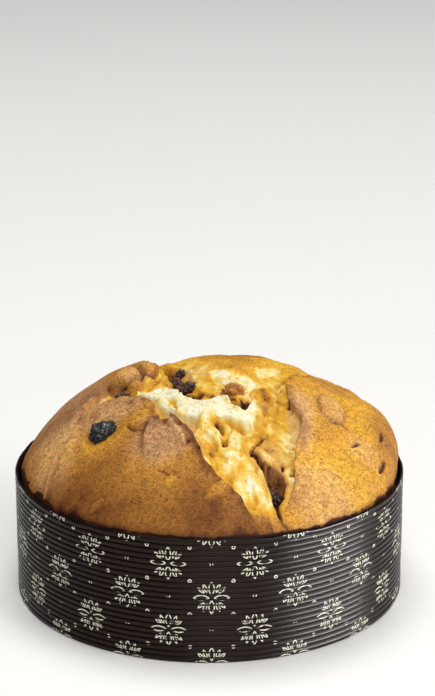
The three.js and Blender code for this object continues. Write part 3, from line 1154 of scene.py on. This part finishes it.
@dataclass(frozen=True)
class CrustFinish:
    """Baked crust and torn crumb, told apart by what the mesh carries.

    Attributes:
        speckle: how strongly fine specks lighten and darken it.
        mottle: how strongly broad patches change it.
    """

    speckle: float = 1.15
    mottle: float = 0.08

    def paint(self) -> bpy.types.Material:
        """Make the material.

        Returns:
            The material, to be put on the piece.
        """
        paint = Paint("baked_crust")
        place = paint.place()
        bake, dusk, torn = (paint.attribute(name) for name in ("bake", "dusk", "torn"))
        crust = 1.0 - torn
        specks, dots = paint.cells(place, 1600.0), paint.cells(place, 820.0)
        patches = paint.noise(place, 90.0, 3.0)
        crumbly = paint.noise(place, 400.0, 4.0, 0.75).rise(0.30, 0.70)
        spots = {"Vector": place, "Scale": 560.0}
        cells = paint.node("ShaderNodeTexVoronoi", {"feature": "F1"}, spots, "Distance")
        # Pores in the torn crumb: sunk by the bump and darkened as painted shade
        pores = (1.0 - cells.rise(0.12, 0.36)) * paint.noise(place, 210.0, 2.0).rise(0.46, 0.62) * torn
        streaky = paint.noise(place, 230.0, 3.0, 0.6).rise(0.30, 0.70)
        grain = (specks - 0.5) * 0.6 + (dots - 0.5) * 0.4
        tone = bake + grain * 0.05 + (patches - 0.5) * self.mottle
        tone = tone + torn * ((crumbly - 0.5) * 0.08 + (streaky - 0.5) * 0.11) + pores * 0.30
        golden = [
            (0.00, linear(243, 237, 212)),
            (0.12, linear(240, 227, 172)),
            (0.28, linear(236, 200, 96)),
            (0.42, linear(226, 170, 56)),
            (0.58, linear(210, 153, 50)),
            (0.72, linear(178, 122, 52)),
            (0.88, linear(124, 76, 34)),
            (0.95, linear(88, 46, 24)),
            (1.00, linear(44, 22, 13)),
        ]
        # Dusky brown: partly the crust's own tone, partly a painted sheen
        dusky_and_sheen = [
            (0.00, linear(250, 243, 205)),
            (0.30, linear(226, 184, 120)),
            (0.58, linear(208, 161, 108)),
            (0.72, linear(182, 136, 92)),
            (0.88, linear(134, 88, 58)),
            (0.95, linear(92, 50, 32)),
            (1.00, linear(44, 22, 15)),
        ]
        bright = paint.node("ShaderNodeValToRGB", {"stops": golden}, {"Fac": tone}, "Color")
        dull = paint.node("ShaderNodeValToRGB", {"stops": dusky_and_sheen}, {"Fac": tone}, "Color")
        relief = grain * 0.5 + crumbly * torn * 0.8 - pores * 1.0
        normal = paint.bump(relief, 0.6, 0.0007)
        glint = 1.0 + grain * (crust * self.speckle + 0.12)
        colour = paint.scaled(paint.mix(dusk, bright, dull), glint)
        paint.set(Base_Color=colour, Roughness=0.78 + torn * 0.12, Normal=normal)
        paint.set(Specular_IOR_Level=0.06)
        return paint.material


@dataclass
class Loaf:
    """The loaf: a crowned and torn top, and a straight side inside the case.

    Attributes:
        low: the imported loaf's lowest corner.
        high: its highest corner.
        rim: the case's rim.
        cells: cells on a side of the grid over its top.
        lean: where the grid is closest, towards the torn front.
    """

    low: Vector
    high: Vector
    rim: float
    cells: int = 304
    lean: complex = 0.03 - 0.28j

    @property
    def form(self) -> LoafForm:
        """Return the loaf's form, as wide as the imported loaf."""
        return LoafForm(radius=(self.high.x - self.low.x) / 2 / MM)

    def build(self) -> bpy.types.Object:
        """Make the loaf's mesh, with its bake and painted shade, its dusk and sheen and its torn places kept
        on it.

        Returns:
            The new object.
        """
        radius = self.form.radius
        u, v = disc_grid(self.cells, self.lean)
        skin = self.form.skin(u * radius, v * radius)
        top = np.stack([skin.x, skin.y, skin.z + self.rim / MM], -1).reshape(-1, 3) * MM
        count = self.cells + 1
        number = np.arange(count * count).reshape(count, count)
        corners = [number[:-1, :-1], number[:-1, 1:], number[1:, 1:], number[1:, :-1]]
        faces = [tuple(quad) for quad in np.stack(corners, -1).reshape(-1, 4).tolist()]
        edge = np.concatenate([number[0, :-1], number[:-1, -1], number[-1, :0:-1], number[:0:-1, 0]])
        foot_first = len(top)
        foot = np.stack([u.flat[edge] * radius, v.flat[edge] * radius, np.zeros(len(edge))], -1) * MM
        foot[:, 2] = self.low.z
        centre = foot_first + len(edge)
        for step, here in enumerate(edge.tolist()):
            after = (step + 1) % len(edge)
            faces.append((here, foot_first + step, foot_first + after, int(edge[after])))
            faces.append((centre, foot_first + after, foot_first + step))
        points = np.vstack([top, foot, [[0.0, 0.0, self.low.z]]])
        piece = mesh_object("loaf_baked", points, faces)
        rest = len(points) - len(top)
        keep(piece, "bake", np.concatenate([skin.bake.ravel(), np.full(rest, 0.8)]))
        keep(piece, "dusk", np.concatenate([skin.dusk.ravel(), np.zeros(rest)]))
        keep(piece, "torn", np.concatenate([skin.torn.ravel(), np.zeros(rest)]))
        return piece

    def dress(self, piece: bpy.types.Object) -> None:
        """Give the loaf its finish and set it in its frame.

        Args:
            piece: the loaf's object.
        """
        piece.data.materials.append(CrustFinish().paint())
        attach(piece, Body.ROOT.value)
        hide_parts("loaf")


class Fruit(Enum):
    """The kinds of fruit, each with its dark colour, painted in the wrinkles as shade, its light colour,
    painted on the ridges as highlight, both linear, and its gloss.
    """

    BLACK = ((0.002, 0.002, 0.002), (0.016, 0.014, 0.013), 0.50)
    PURPLE = ((0.036, 0.016, 0.012), (0.360, 0.190, 0.115), 0.25)
    CANDIED = ((0.420, 0.160, 0.036), (0.800, 0.450, 0.130), 0.04)


@dataclass(frozen=True)
class RaisinFinish:
    """The wrinkled skin of a dried fruit, with painted shade in the wrinkles and a painted highlight on the
    ridges.

    Attributes:
        fruit: which fruit it is.
    """

    fruit: Fruit

    def paint(self) -> bpy.types.Material:
        """Make the material.

        Returns:
            The material, to be put on the piece.
        """
        paint = Paint(f"{self.fruit.name.lower()}_fruit")
        place = paint.place()
        dark, light, gloss = self.fruit.value
        bloom = paint.noise(place, 420.0, 3.0, 0.7).rise(0.32, 0.68)
        grain = paint.noise(place, 1500.0, 2.0)
        high = paint.attribute("height")
        # Painted highlight on the ridges and painted shade in the wrinkles, mottled by bloom
        share = high.rise(0.35, 1.0) * (0.15 + bloom * 0.85)
        normal = paint.bump(grain + bloom, 0.5, 0.0005)
        paint.set(Base_Color=paint.mix(share, dark, light), Roughness=0.24 + bloom * 0.22, Normal=normal)
        paint.set(Specular_IOR_Level=gloss)
        return paint.material


@dataclass(frozen=True)
class Raisin:
    """One dried fruit set in the loaf.

    Attributes:
        name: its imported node.
        x: its middle, along X, in millimetres.
        y: its middle, along Y.
        proud: how far its middle stands over the crust.
        long: its half length.
        wide: its half width.
        thick: its half thickness.
        turn: degrees from X to its length.
        tip: degrees its flat side tips towards the front.
        seed: which wrinkles it has.
        fruit: which fruit it is.
    """

    name: str
    x: float
    y: float
    proud: float
    long: float
    wide: float
    thick: float
    turn: float
    tip: float
    seed: int
    fruit: Fruit

    def wrinkles(self, way: np.ndarray) -> np.ndarray:
        """Work out how far the wrinkles draw the skin in.

        Args:
            way: the points of a unit ball.

        Returns:
            The amount at each point, from 0 to 1.
        """
        draw = np.random.default_rng(self.seed)
        drawn = np.zeros(len(way))
        for _ in range(12):
            axis, side = draw.normal(size=3), draw.normal(size=3)
            wander = 1.6 * np.sin(4.0 * way @ side / np.linalg.norm(side) + draw.uniform(0, 6))
            phase = draw.uniform(3.5, 7.5) * way @ axis / np.linalg.norm(axis)
            fold = np.sin(phase + wander + draw.uniform(0, 6))
            drawn += draw.uniform(0.5, 1.0) * np.exp(-((fold / 0.30) ** 2))
        return np.clip(drawn / 2.6, 0.0, 1.0)

    def lumpiness(self, way: np.ndarray) -> np.ndarray:
        """Work out how far out of round the fruit is.

        Args:
            way: the points of a unit ball.

        Returns:
            The amount at each point, up to 1 either way.
        """
        draw = np.random.default_rng(self.seed + 40)
        axes = draw.normal(size=(3, 3))
        axes /= np.linalg.norm(axes, axis=1)[:, None]
        return np.sin(way @ axes.T * 2.6 + draw.uniform(0, 6, 3)).mean(1)

    def build(self, loaf: Loaf) -> bpy.types.Object:
        """Make the fruit's mesh.

        Args:
            loaf: the loaf that it is set in.

        Returns:
            The new object.
        """
        spot = loaf.form.skin(np.array([self.x]), np.array([self.y]))
        middle = np.array([self.x, self.y, spot.z[0] + self.proud])
        ball = bmesh.new()
        bmesh.ops.create_icosphere(ball, subdivisions=5, radius=1.0)
        way = np.array([v.co[:] for v in ball.verts])
        faces = [tuple(v.index for v in f.verts) for f in ball.faces]
        ball.free()
        drawn = self.wrinkles(way)
        drawn_in = 1.06 - 0.42 * drawn + 0.16 * self.lumpiness(way)
        shape = way * drawn_in[:, None] * np.array([self.long, self.wide, self.thick])
        turn = Matrix.Rotation(math.radians(self.turn), 3, "Z")
        tip = Matrix.Rotation(math.radians(self.tip), 3, "X")
        shape = shape @ np.array(tip @ turn).T + middle
        piece = mesh_object(f"{self.name}_wrinkled", shape * MM + np.array([0.0, 0.0, loaf.rim]), faces)
        # The height feeds the painted shade and highlight of the finish
        keep(piece, "height", 1.0 - drawn)
        return piece

    def dress(self, piece: bpy.types.Object) -> None:
        """Give the fruit its finish and set it in its frame.

        Args:
            piece: the fruit's object.
        """
        piece.data.materials.append(RaisinFinish(self.fruit).paint())
        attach(piece, Body.ROOT.value)
        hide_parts(self.name)


# Node, middle, stand, half length, half width, half thickness, turn, tip, seed and kind of each fruit
RAISINS = (
    Raisin("raisin_lobe", -54.5, -43.8, 0.4, 8.2, 7.4, 4.8, 20, 46, 4, Fruit.BLACK),
    Raisin("raisin_cavity_top", -15.6, 21.5, 0.8, 3.8, 3.2, 3.8, 60, 30, 9, Fruit.PURPLE),
    Raisin("raisin_cavity_side", -18.4, 12.5, 2.2, 5.0, 4.4, 4.6, 100, 20, 5, Fruit.PURPLE),
    Raisin("raisin_cavity", -10.4, -4.5, 0.8, 6.6, 4.6, 4.8, -15, 30, 7, Fruit.PURPLE),
    Raisin("fruit_middle", 12.8, -17.5, -1.0, 7.4, 6.6, 6.0, 10, 40, 3, Fruit.CANDIED),
    Raisin("raisin_left", -45.4, -14.4, 0.8, 5.6, 3.2, 3.4, 15, 30, 6, Fruit.PURPLE),
    Raisin("raisin_fissure", 33.4, -75.0, 0.6, 6.4, 3.2, 3.0, -60, 30, 8, Fruit.PURPLE),
)


def keep(piece: bpy.types.Object, name: str, values: np.ndarray) -> None:
    """Keep one number for each point of a mesh.

    Args:
        piece: the piece whose mesh it is.
        name: the number's name in the finish.
        values: the numbers, in the points' order.
    """
    attribute = piece.data.attributes.new(name, "FLOAT", "POINT")
    attribute.data.foreach_set("value", values.astype(np.float32))


@dataclass(frozen=True)
class PaperFinish:
    """Dark coated paper with a printed diaper of rosettes and small rings, and painted shade in the rib
    grooves.

    Attributes:
        radius: the wall's outer radius, in millimetres.
        rib_depth: how deep the grooves between the ribs are.
        columns: rosette columns of one kind round the wall.
        first: azimuth of the first column, in degrees to the right of the front.
        middle: height of a rosette in that column.
        rise: height from one rosette to the next above it.
        line: half width of a printed line.
    """

    radius: float
    rib_depth: float
    columns: int = 15
    first: float = 0.8
    middle: float = 36.3
    rise: float = 36.4
    line: float = 0.27

    def leaf(self, s: Shade, t: Shade, long: float, wide: float) -> Shade:
        """Measure the distance to the outline of a pointed leaf.

        Args:
            s: the distance along the leaf from its middle.
            t: the distance across it.
            long: its half length.
            wide: its half width.

        Returns:
            The distance, in millimetres.
        """
        curve = (long**2 + wide**2) / (2 * wide)
        across = abs(t) + (curve - wide)
        return abs((s * s + across * across) ** 0.5 - curve).larger(abs(s) - long)

    def ring(self, s: Shade, t: Shade, radius: float) -> Shade:
        """Return the distance to a small ring."""
        return abs((s * s + t * t) ** 0.5 - radius)

    def rosette(self, s: Shade, t: Shade) -> Shade:
        """Measure the distance to a rosette's lines, drawn for one quarter and mirrored to the others.

        Args:
            s: the distance across from its centre, without sign.
            t: the distance up from its centre, without sign.

        Returns:
            The distance, in millimetres.
        """
        upright = self.leaf(t - 5.1, s, 3.5, 1.35)
        sideways = self.leaf(s - 5.2, t, 3.8, 1.35)
        distance = upright.smaller(sideways)
        # Middle, turn, half length and half width of the slanting leaves
        for x, y, turn, long, wide in ((3.3, 5.3, 68.0, 2.3, 0.75), (5.3, 4.1, 42.0, 2.0, 0.6)):
            c, n = math.cos(math.radians(turn)), math.sin(math.radians(turn))
            along = (s - x) * c + (t - y) * n
            across = (t - y) * c - (s - x) * n
            distance = distance.smaller(self.leaf(along, across, long, wide))
        return distance

    def paint(self) -> bpy.types.Material:
        """Make the material.

        Returns:
            The material, to be put on the piece.
        """
        paint = Paint("printed_paper")
        place = paint.place()
        x, y, z = (paint.node("ShaderNodeSeparateXYZ", {}, {0: place}, axis) / MM for axis in "XYZ")
        half_width = math.pi * self.radius / self.columns
        half_height = self.rise / 2
        turned = x.math("ARCTAN2", x, 0.0 - y) - math.radians(self.first)
        s = abs(turned.math("WRAP", turned * self.radius, half_width, -half_width))
        t = abs(z.math("WRAP", z - self.middle, half_height, -half_height))
        nearer = x.math("LESS_THAN", s / half_width + t / half_height, 1.0)
        s = nearer * s + (1.0 - nearer) * (half_width - s)
        t = nearer * t + (1.0 - nearer) * (half_height - t)
        distance = self.rosette(s, t)
        distance = distance.smaller(self.ring(s - half_width / 2, t - half_height / 2, 0.76))
        distance = distance.smaller(self.ring(s - half_width, t - 0.2, 0.70))
        out = (x * x + y * y) ** 0.5
        # The crest mask paints shade in the rib grooves: the print stops there and the paper turns near-black
        crest = out.rise(self.radius - self.rib_depth * 0.46, self.radius - self.rib_depth * 0.24)
        worn = paint.noise(place, 420.0, 2.0).rise(0.30, 0.46)
        ink = (1.0 - distance.rise(self.line - 0.12, self.line + 0.12)) * crest * worn
        fibre = paint.noise(place, 900.0, 3.0)
        dark = paint.mix(fibre, linear(24, 13, 10), linear(48, 31, 25))
        dark = paint.mix(crest, linear(4, 3, 3), dark)
        inside = 1.0 - out.rise(self.radius - 2.0 * self.rib_depth - 0.3, self.radius - 1.4 * self.rib_depth)
        dark = paint.mix(inside * 0.4, dark, linear(70, 46, 36))
        colour = paint.mix(ink, dark, linear(232, 228, 208))
        normal = paint.bump(fibre, 0.12, 0.0003)
        paint.set(Base_Color=colour, Roughness=0.28 + ink * 0.3, Normal=normal)
        paint.set(Specular_IOR_Level=0.11)
        return paint.material


class NodeGroup:
    """A Geometry Nodes tree that is being made."""

    def __init__(self, name: str) -> None:
        """Start a tree that takes and returns geometry.

        Args:
            name: the tree's name.
        """
        self.tree = bpy.data.node_groups.new(name, "GeometryNodeTree")
        self.tree.interface.new_socket("Geometry", in_out="OUTPUT", socket_type="NodeSocketGeometry")
        self.tree.interface.new_socket("Geometry", in_out="INPUT", socket_type="NodeSocketGeometry")
        self.source = self.tree.nodes.new("NodeGroupInput")
        self.result = self.tree.nodes.new("NodeGroupOutput")
        self.values: dict[str, object] = {}

    def take(self, name: str, kind: str, value: object) -> bpy.types.NodeSocket:
        """Add a named input.

        Args:
            name: the input's name.
            kind: its socket type.
            value: what the modifier feeds it.

        Returns:
            The socket that carries it in the tree.
        """
        made = self.tree.interface.new_socket(name, in_out="INPUT", socket_type=kind)
        self.values[made.identifier] = value
        return self.source.outputs[name]

    def node(
        self, kind: str, settings: dict[str, object], inputs: dict[int | str, object], output: int | str = 0
    ) -> bpy.types.NodeSocket:
        """Add any node and return one of its results.

        Args:
            kind: the node's type.
            settings: its own settings, set first.
            inputs: the values or links of its sockets, by name or number.
            output: which of its results to return.

        Returns:
            The socket of that result.
        """
        made = self.tree.nodes.new(kind)
        for name, value in settings.items():
            setattr(made, name, value)
        for name, value in inputs.items():
            for one in value if isinstance(value, list) else [value]:
                if isinstance(one, bpy.types.NodeSocket):
                    self.tree.links.new(one, made.inputs[name])
                else:
                    made.inputs[name].default_value = one
        return made.outputs[output]

    def math(self, operation: str, a: object, b: object = 0.0) -> bpy.types.NodeSocket:
        """Add one Math node."""
        return self.node("ShaderNodeMath", {"operation": operation}, {0: a, 1: b})

    def apply(self, piece: bpy.types.Object, result: bpy.types.NodeSocket) -> None:
        """Run the tree on a piece and keep what it makes as the piece's own mesh.

        Args:
            piece: the piece to change.
            result: the socket whose geometry it becomes.
        """
        self.tree.links.new(result, self.result.inputs["Geometry"])
        modifier = piece.modifiers.new(self.tree.name, "NODES")
        modifier.node_group = self.tree
        for identifier, value in self.values.items():
            modifier[identifier] = value
        graph = bpy.context.evaluated_depsgraph_get()
        made = bpy.data.meshes.new_from_object(piece.evaluated_get(graph))
        piece.modifiers.clear()
        piece.data = made


@dataclass
class PaperCase:
    """The case: a cup of corrugated paper, ribbed all round.

    Attributes:
        low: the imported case's lowest corner.
        high: its highest corner.
        ribs: how many ribs stand one above another.
        rib_depth: how deep the grooves between them are, in metres.
        wall: the wall's thickness over a rib.
        floor: the bottom's thickness.
        around: points round the wall.
        ripple: how far the rim wanders up and down.
    """

    low: Vector
    high: Vector
    ribs: int = 23
    rib_depth: float = 0.7 * MM
    wall: float = 1.4 * MM
    floor: float = 1.2 * MM
    around: int = 240
    ripple: float = 0.5 * MM

    @property
    def radius(self) -> float:
        """Return the wall's outer radius."""
        return (self.high.x - self.low.x) / 2

    def cup(self) -> bpy.types.Object:
        """Turn the smooth part of the cup: underside, bottom, inner wall and rim.

        Returns:
            The new object.
        """
        groove, inner = self.radius - self.rib_depth, self.radius - self.wall
        foot, rim = self.low.z, self.high.z
        bottom = foot + self.floor
        middle, steps = groove * 0.6, 12
        rings = [(groove, foot), (middle, foot), (middle, bottom), (inner, bottom)]
        rings += [(inner, bottom + (rim - foot - self.floor) * k / steps) for k in range(1, steps + 1)]
        rings += [(groove, rim)]
        turn = np.arange(self.around) * 2 * math.pi / self.around
        across, ahead = np.cos(turn), np.sin(turn)
        points = [np.stack([r * across, r * ahead, np.full(self.around, z)], -1) for r, z in rings]
        points.append(np.array([[0.0, 0.0, foot], [0.0, 0.0, bottom]]))
        faces = []
        centre = len(rings) * self.around
        for step in range(self.around):
            after = (step + 1) % self.around
            faces.append((centre, self.around + after, self.around + step))
            faces.append((centre + 1, 2 * self.around + step, 2 * self.around + after))
            for ring in range(len(rings) - 1):
                # No wall joins the underside to the bottom at their middles
                if ring != 1:
                    a, b = ring * self.around, (ring + 1) * self.around
                    faces.append((a + step, b + step, b + after, a + after))
        return mesh_object("paper_cup", np.vstack(points), faces)

    def rib_wall(self, piece: bpy.types.Object) -> None:
        """Sweep one rib round the wall, repeat it up to the rim and join it to the cup.

        Args:
            piece: the smooth part of the cup.
        """
        group = NodeGroup("ribbed wall")
        radius = group.take("Radius", "NodeSocketFloat", self.radius)
        depth = group.take("Rib Depth", "NodeSocketFloat", self.rib_depth)
        pitch = group.take("Rib Pitch", "NodeSocketFloat", (self.high.z - self.low.z) / self.ribs)
        ribs = group.take("Ribs", "NodeSocketInt", self.ribs)
        around = group.take("Points Round", "NodeSocketInt", self.around)
        foot = group.take("Foot", "NodeSocketFloat", self.low.z)
        ripple = group.take("Rim Ripple", "NodeSocketFloat", self.ripple)
        rim = group.take("Rim", "NodeSocketFloat", self.high.z)
        half = group.math("MULTIPLY", pitch, 0.5)
        square = group.math("DIVIDE", group.math("MULTIPLY", half, half), group.math("MULTIPLY", depth, 2.0))
        bow = group.math("ADD", square, group.math("MULTIPLY", depth, 0.5))
        spread = group.math("ARCSINE", group.math("DIVIDE", half, bow))
        arc = group.node(
            "GeometryNodeCurveArc",
            {"mode": "RADIUS"},
            {
                "Resolution": 13,
                "Radius": bow,
                "Start Angle": group.math("MULTIPLY", spread, -1.0),
                "Sweep Angle": group.math("MULTIPLY", spread, 2.0),
            },
            "Curve",
        )
        # The rib's face falls away gently at its crest and steeply at the groove
        place = group.node("GeometryNodeInputPosition", {}, {})
        rise = group.node("ShaderNodeSeparateXYZ", {}, {0: place}, "Y")
        share = group.math("ABSOLUTE", group.math("DIVIDE", rise, half))
        bowed = group.math("MULTIPLY", group.math("POWER", share, 2.0), 0.28)
        drop = group.math("ADD", group.math("MULTIPLY", group.math("POWER", share, 3.5), 0.72), bowed)
        face = group.math("SUBTRACT", bow, group.math("MULTIPLY", drop, depth))
        flat_rib = group.node("ShaderNodeCombineXYZ", {}, {"X": face, "Y": rise})
        arc = group.node("GeometryNodeSetPosition", {}, {"Geometry": arc, "Position": flat_rib})
        hoop = group.node(
            "GeometryNodeCurvePrimitiveCircle",
            {"mode": "RADIUS"},
            {"Resolution": around, "Radius": group.math("SUBTRACT", radius, bow)},
            "Curve",
        )
        rib = group.node("GeometryNodeCurveToMesh", {}, {"Curve": hoop, "Profile Curve": arc})
        start = group.node("ShaderNodeCombineXYZ", {}, {"Z": group.math("ADD", foot, half)})
        step = group.node("ShaderNodeCombineXYZ", {}, {"Z": pitch})
        places = {"Count": ribs, "Start Location": start, "Offset": step}
        line = group.node("GeometryNodeMeshLine", {}, places)
        stack = group.node("GeometryNodeInstanceOnPoints", {}, {"Points": line, "Instance": rib})
        wall = group.node("GeometryNodeRealizeInstances", {}, {"Geometry": stack})
        cup = group.source.outputs["Geometry"]
        whole = group.node("GeometryNodeJoinGeometry", {}, {"Geometry": [cup, wall]})
        whole = group.node("GeometryNodeMergeByDistance", {}, {"Geometry": whole, "Distance": 2e-5})
        # The top edge wanders up and down, and the wall under it less and less
        height = group.node("ShaderNodeSeparateXYZ", {}, {0: place}, "Z")
        near_rim = group.node(
            "ShaderNodeMapRange",
            {"interpolation_type": "SMOOTHSTEP"},
            {"Value": height, "From Min": group.math("SUBTRACT", rim, 0.012), "From Max": rim},
        )
        level = {0: place, 1: (1.0, 1.0, 0.0)}
        flat = group.node("ShaderNodeVectorMath", {"operation": "MULTIPLY"}, level)
        wave = group.node("ShaderNodeTexNoise", {}, {"Vector": flat, "Scale": 110.0, "Detail": 2.0}, 0)
        lift = group.math("MULTIPLY", group.math("SUBTRACT", wave, 0.5), ripple)
        lift = group.math("MULTIPLY", group.math("MULTIPLY", lift, near_rim), 4.0)
        shift = group.node("ShaderNodeCombineXYZ", {}, {"Z": lift})
        whole = group.node("GeometryNodeSetPosition", {}, {"Geometry": whole, "Offset": shift})
        whole = group.node("GeometryNodeSetShadeSmooth", {}, {"Geometry": whole, "Shade Smooth": True})
        finish = PaperFinish(radius=self.radius / MM, rib_depth=self.rib_depth / MM).paint()
        coat = group.take("Finish", "NodeSocketMaterial", finish)
        group.apply(piece, group.node("GeometryNodeSetMaterial", {}, {"Geometry": whole, "Material": coat}))

    def build(self) -> bpy.types.Object:
        """Make the cup and its ribs.

        Returns:
            The new object.
        """
        piece = self.cup()
        self.rib_wall(piece)
        return piece

    def dress(self, piece: bpy.types.Object) -> None:
        """Set the case in its frame.

        Args:
            piece: the case's object, which has its finish already.
        """
        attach(piece, Body.ROOT.value)
        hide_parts("paper_case")


@dataclass(frozen=True)
class Studio:
    """The floor, the lights and the camera.

    Attributes:
        target: where the camera looks, in metres.
        distance: how far it stands.
        elevation: how far it looks down, in degrees.
        pixels_per_radian: the photograph's focal length in pixels.
        photo_height: the photograph's longer side in pixels.
        reach: how far the lamps hang from the loaf.
        floor_size: half the floor's width.
    """

    target: Vector
    distance: float = 1.2
    elevation: float = 18.53
    pixels_per_radian: float = 2250.8
    photo_height: float = 696.0
    reach: float = 3.0
    floor_size: float = 6.0

    def floor(self) -> None:
        """Lay a plain pale floor."""
        size = self.floor_size
        points = np.array([(-size, -size, 0), (size, -size, 0), (size, size, 0), (-size, size, 0)], float)
        floor = mesh_object("floor", points - np.array([0.0, 0.0, 0.0002]), [(0, 1, 2, 3)])
        paint = Paint("floor_finish")
        paint.set(Base_Color=linear(246, 245, 242), Roughness=0.6)
        floor.data.materials.append(paint.material)

    def camera(self) -> None:
        """Stand the camera where the photograph was taken from."""
        data = bpy.data.cameras.new("camera")
        data.sensor_width = 36.0
        data.lens = self.pixels_per_radian / self.photo_height * data.sensor_width
        data.clip_end = 50.0
        camera = bpy.data.objects.new("camera", data)
        tilt = math.radians(self.elevation)
        back = Vector((0.0, -math.cos(tilt), math.sin(tilt)))
        camera.location = self.target + back * self.distance
        camera.rotation_euler = (math.pi / 2 - tilt, 0.0, 0.0)
        bpy.context.scene.collection.objects.link(camera)
        bpy.context.scene.camera = camera

    def lamp(
        self, name: str, azimuth: float, elevation: float, width: float, height: float, watts: float
    ) -> bpy.types.Object:
        """Hang a soft lamp that looks at the loaf.

        Args:
            name: the lamp's name.
            azimuth: degrees to the right of the camera.
            elevation: degrees above the floor.
            width: its width, in metres.
            height: its height, in metres.
            watts: its power.

        Returns:
            The lamp.
        """
        data = bpy.data.lights.new(name, "AREA")
        data.shape = "RECTANGLE"
        data.size = width
        data.size_y = height
        data.energy = watts
        lamp = bpy.data.objects.new(name, data)
        a, e = math.radians(azimuth), math.radians(elevation)
        away = Vector((math.sin(a) * math.cos(e), -math.cos(a) * math.cos(e), math.sin(e)))
        lamp.location = Vector((0.0, 0.0, 0.06)) + away * self.reach
        lamp.rotation_mode = "QUATERNION"
        lamp.rotation_quaternion = (-away).to_track_quat("-Z", "Y")
        bpy.context.scene.collection.objects.link(lamp)
        return lamp

    def light(self) -> None:
        """Light the loaf softly from the right, as in the photograph."""
        # Name, azimuth, elevation, width, height and watts of each lamp
        self.lamp("key", 60.0, 32.0, 2.0, 0.6, 31.5)
        card = self.lamp("card that only shows in the gloss", 70.0, 9.0, 2.6, 0.9, 620.0)
        card.visible_diffuse = False
        self.lamp("top", 190.0, 78.0, 1.6, 1.6, 52.0)
        self.lamp("front", 4.0, 48.0, 1.2, 1.2, 34.0)
        world = bpy.data.worlds.new("studio")
        world.use_nodes = True
        background = world.node_tree.nodes["Background"]
        background.inputs["Color"].default_value = (1.0, 1.0, 1.0, 1.0)
        background.inputs["Strength"].default_value = 0.18
        bpy.context.scene.world = world
        bpy.context.scene.view_settings.view_transform = "Standard"


def main() -> None:
    """Build the case, the loaf and the fruit in order, and report each piece."""
    logging.basicConfig(level=logging.INFO, format="%(name)s: %(message)s")
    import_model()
    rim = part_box("paper_case")[1].z
    studio = Studio(target=Vector((0.00443, 0.0, 0.1337)))
    studio.camera()
    studio.floor()
    studio.light()

    case = PaperCase(*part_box("paper_case"))
    piece = case.build()
    case.dress(piece)
    LOG.info("paper case: %d faces", len(piece.data.polygons))

    loaf = Loaf(*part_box("loaf"), rim=rim)
    piece = loaf.build()
    loaf.dress(piece)
    LOG.info("loaf: %d faces", len(piece.data.polygons))

    for raisin in RAISINS:
        piece = raisin.build(loaf)
        raisin.dress(piece)
        LOG.info("%s: %d faces", raisin.name, len(piece.data.polygons))


if __name__ == "__main__":
    main()
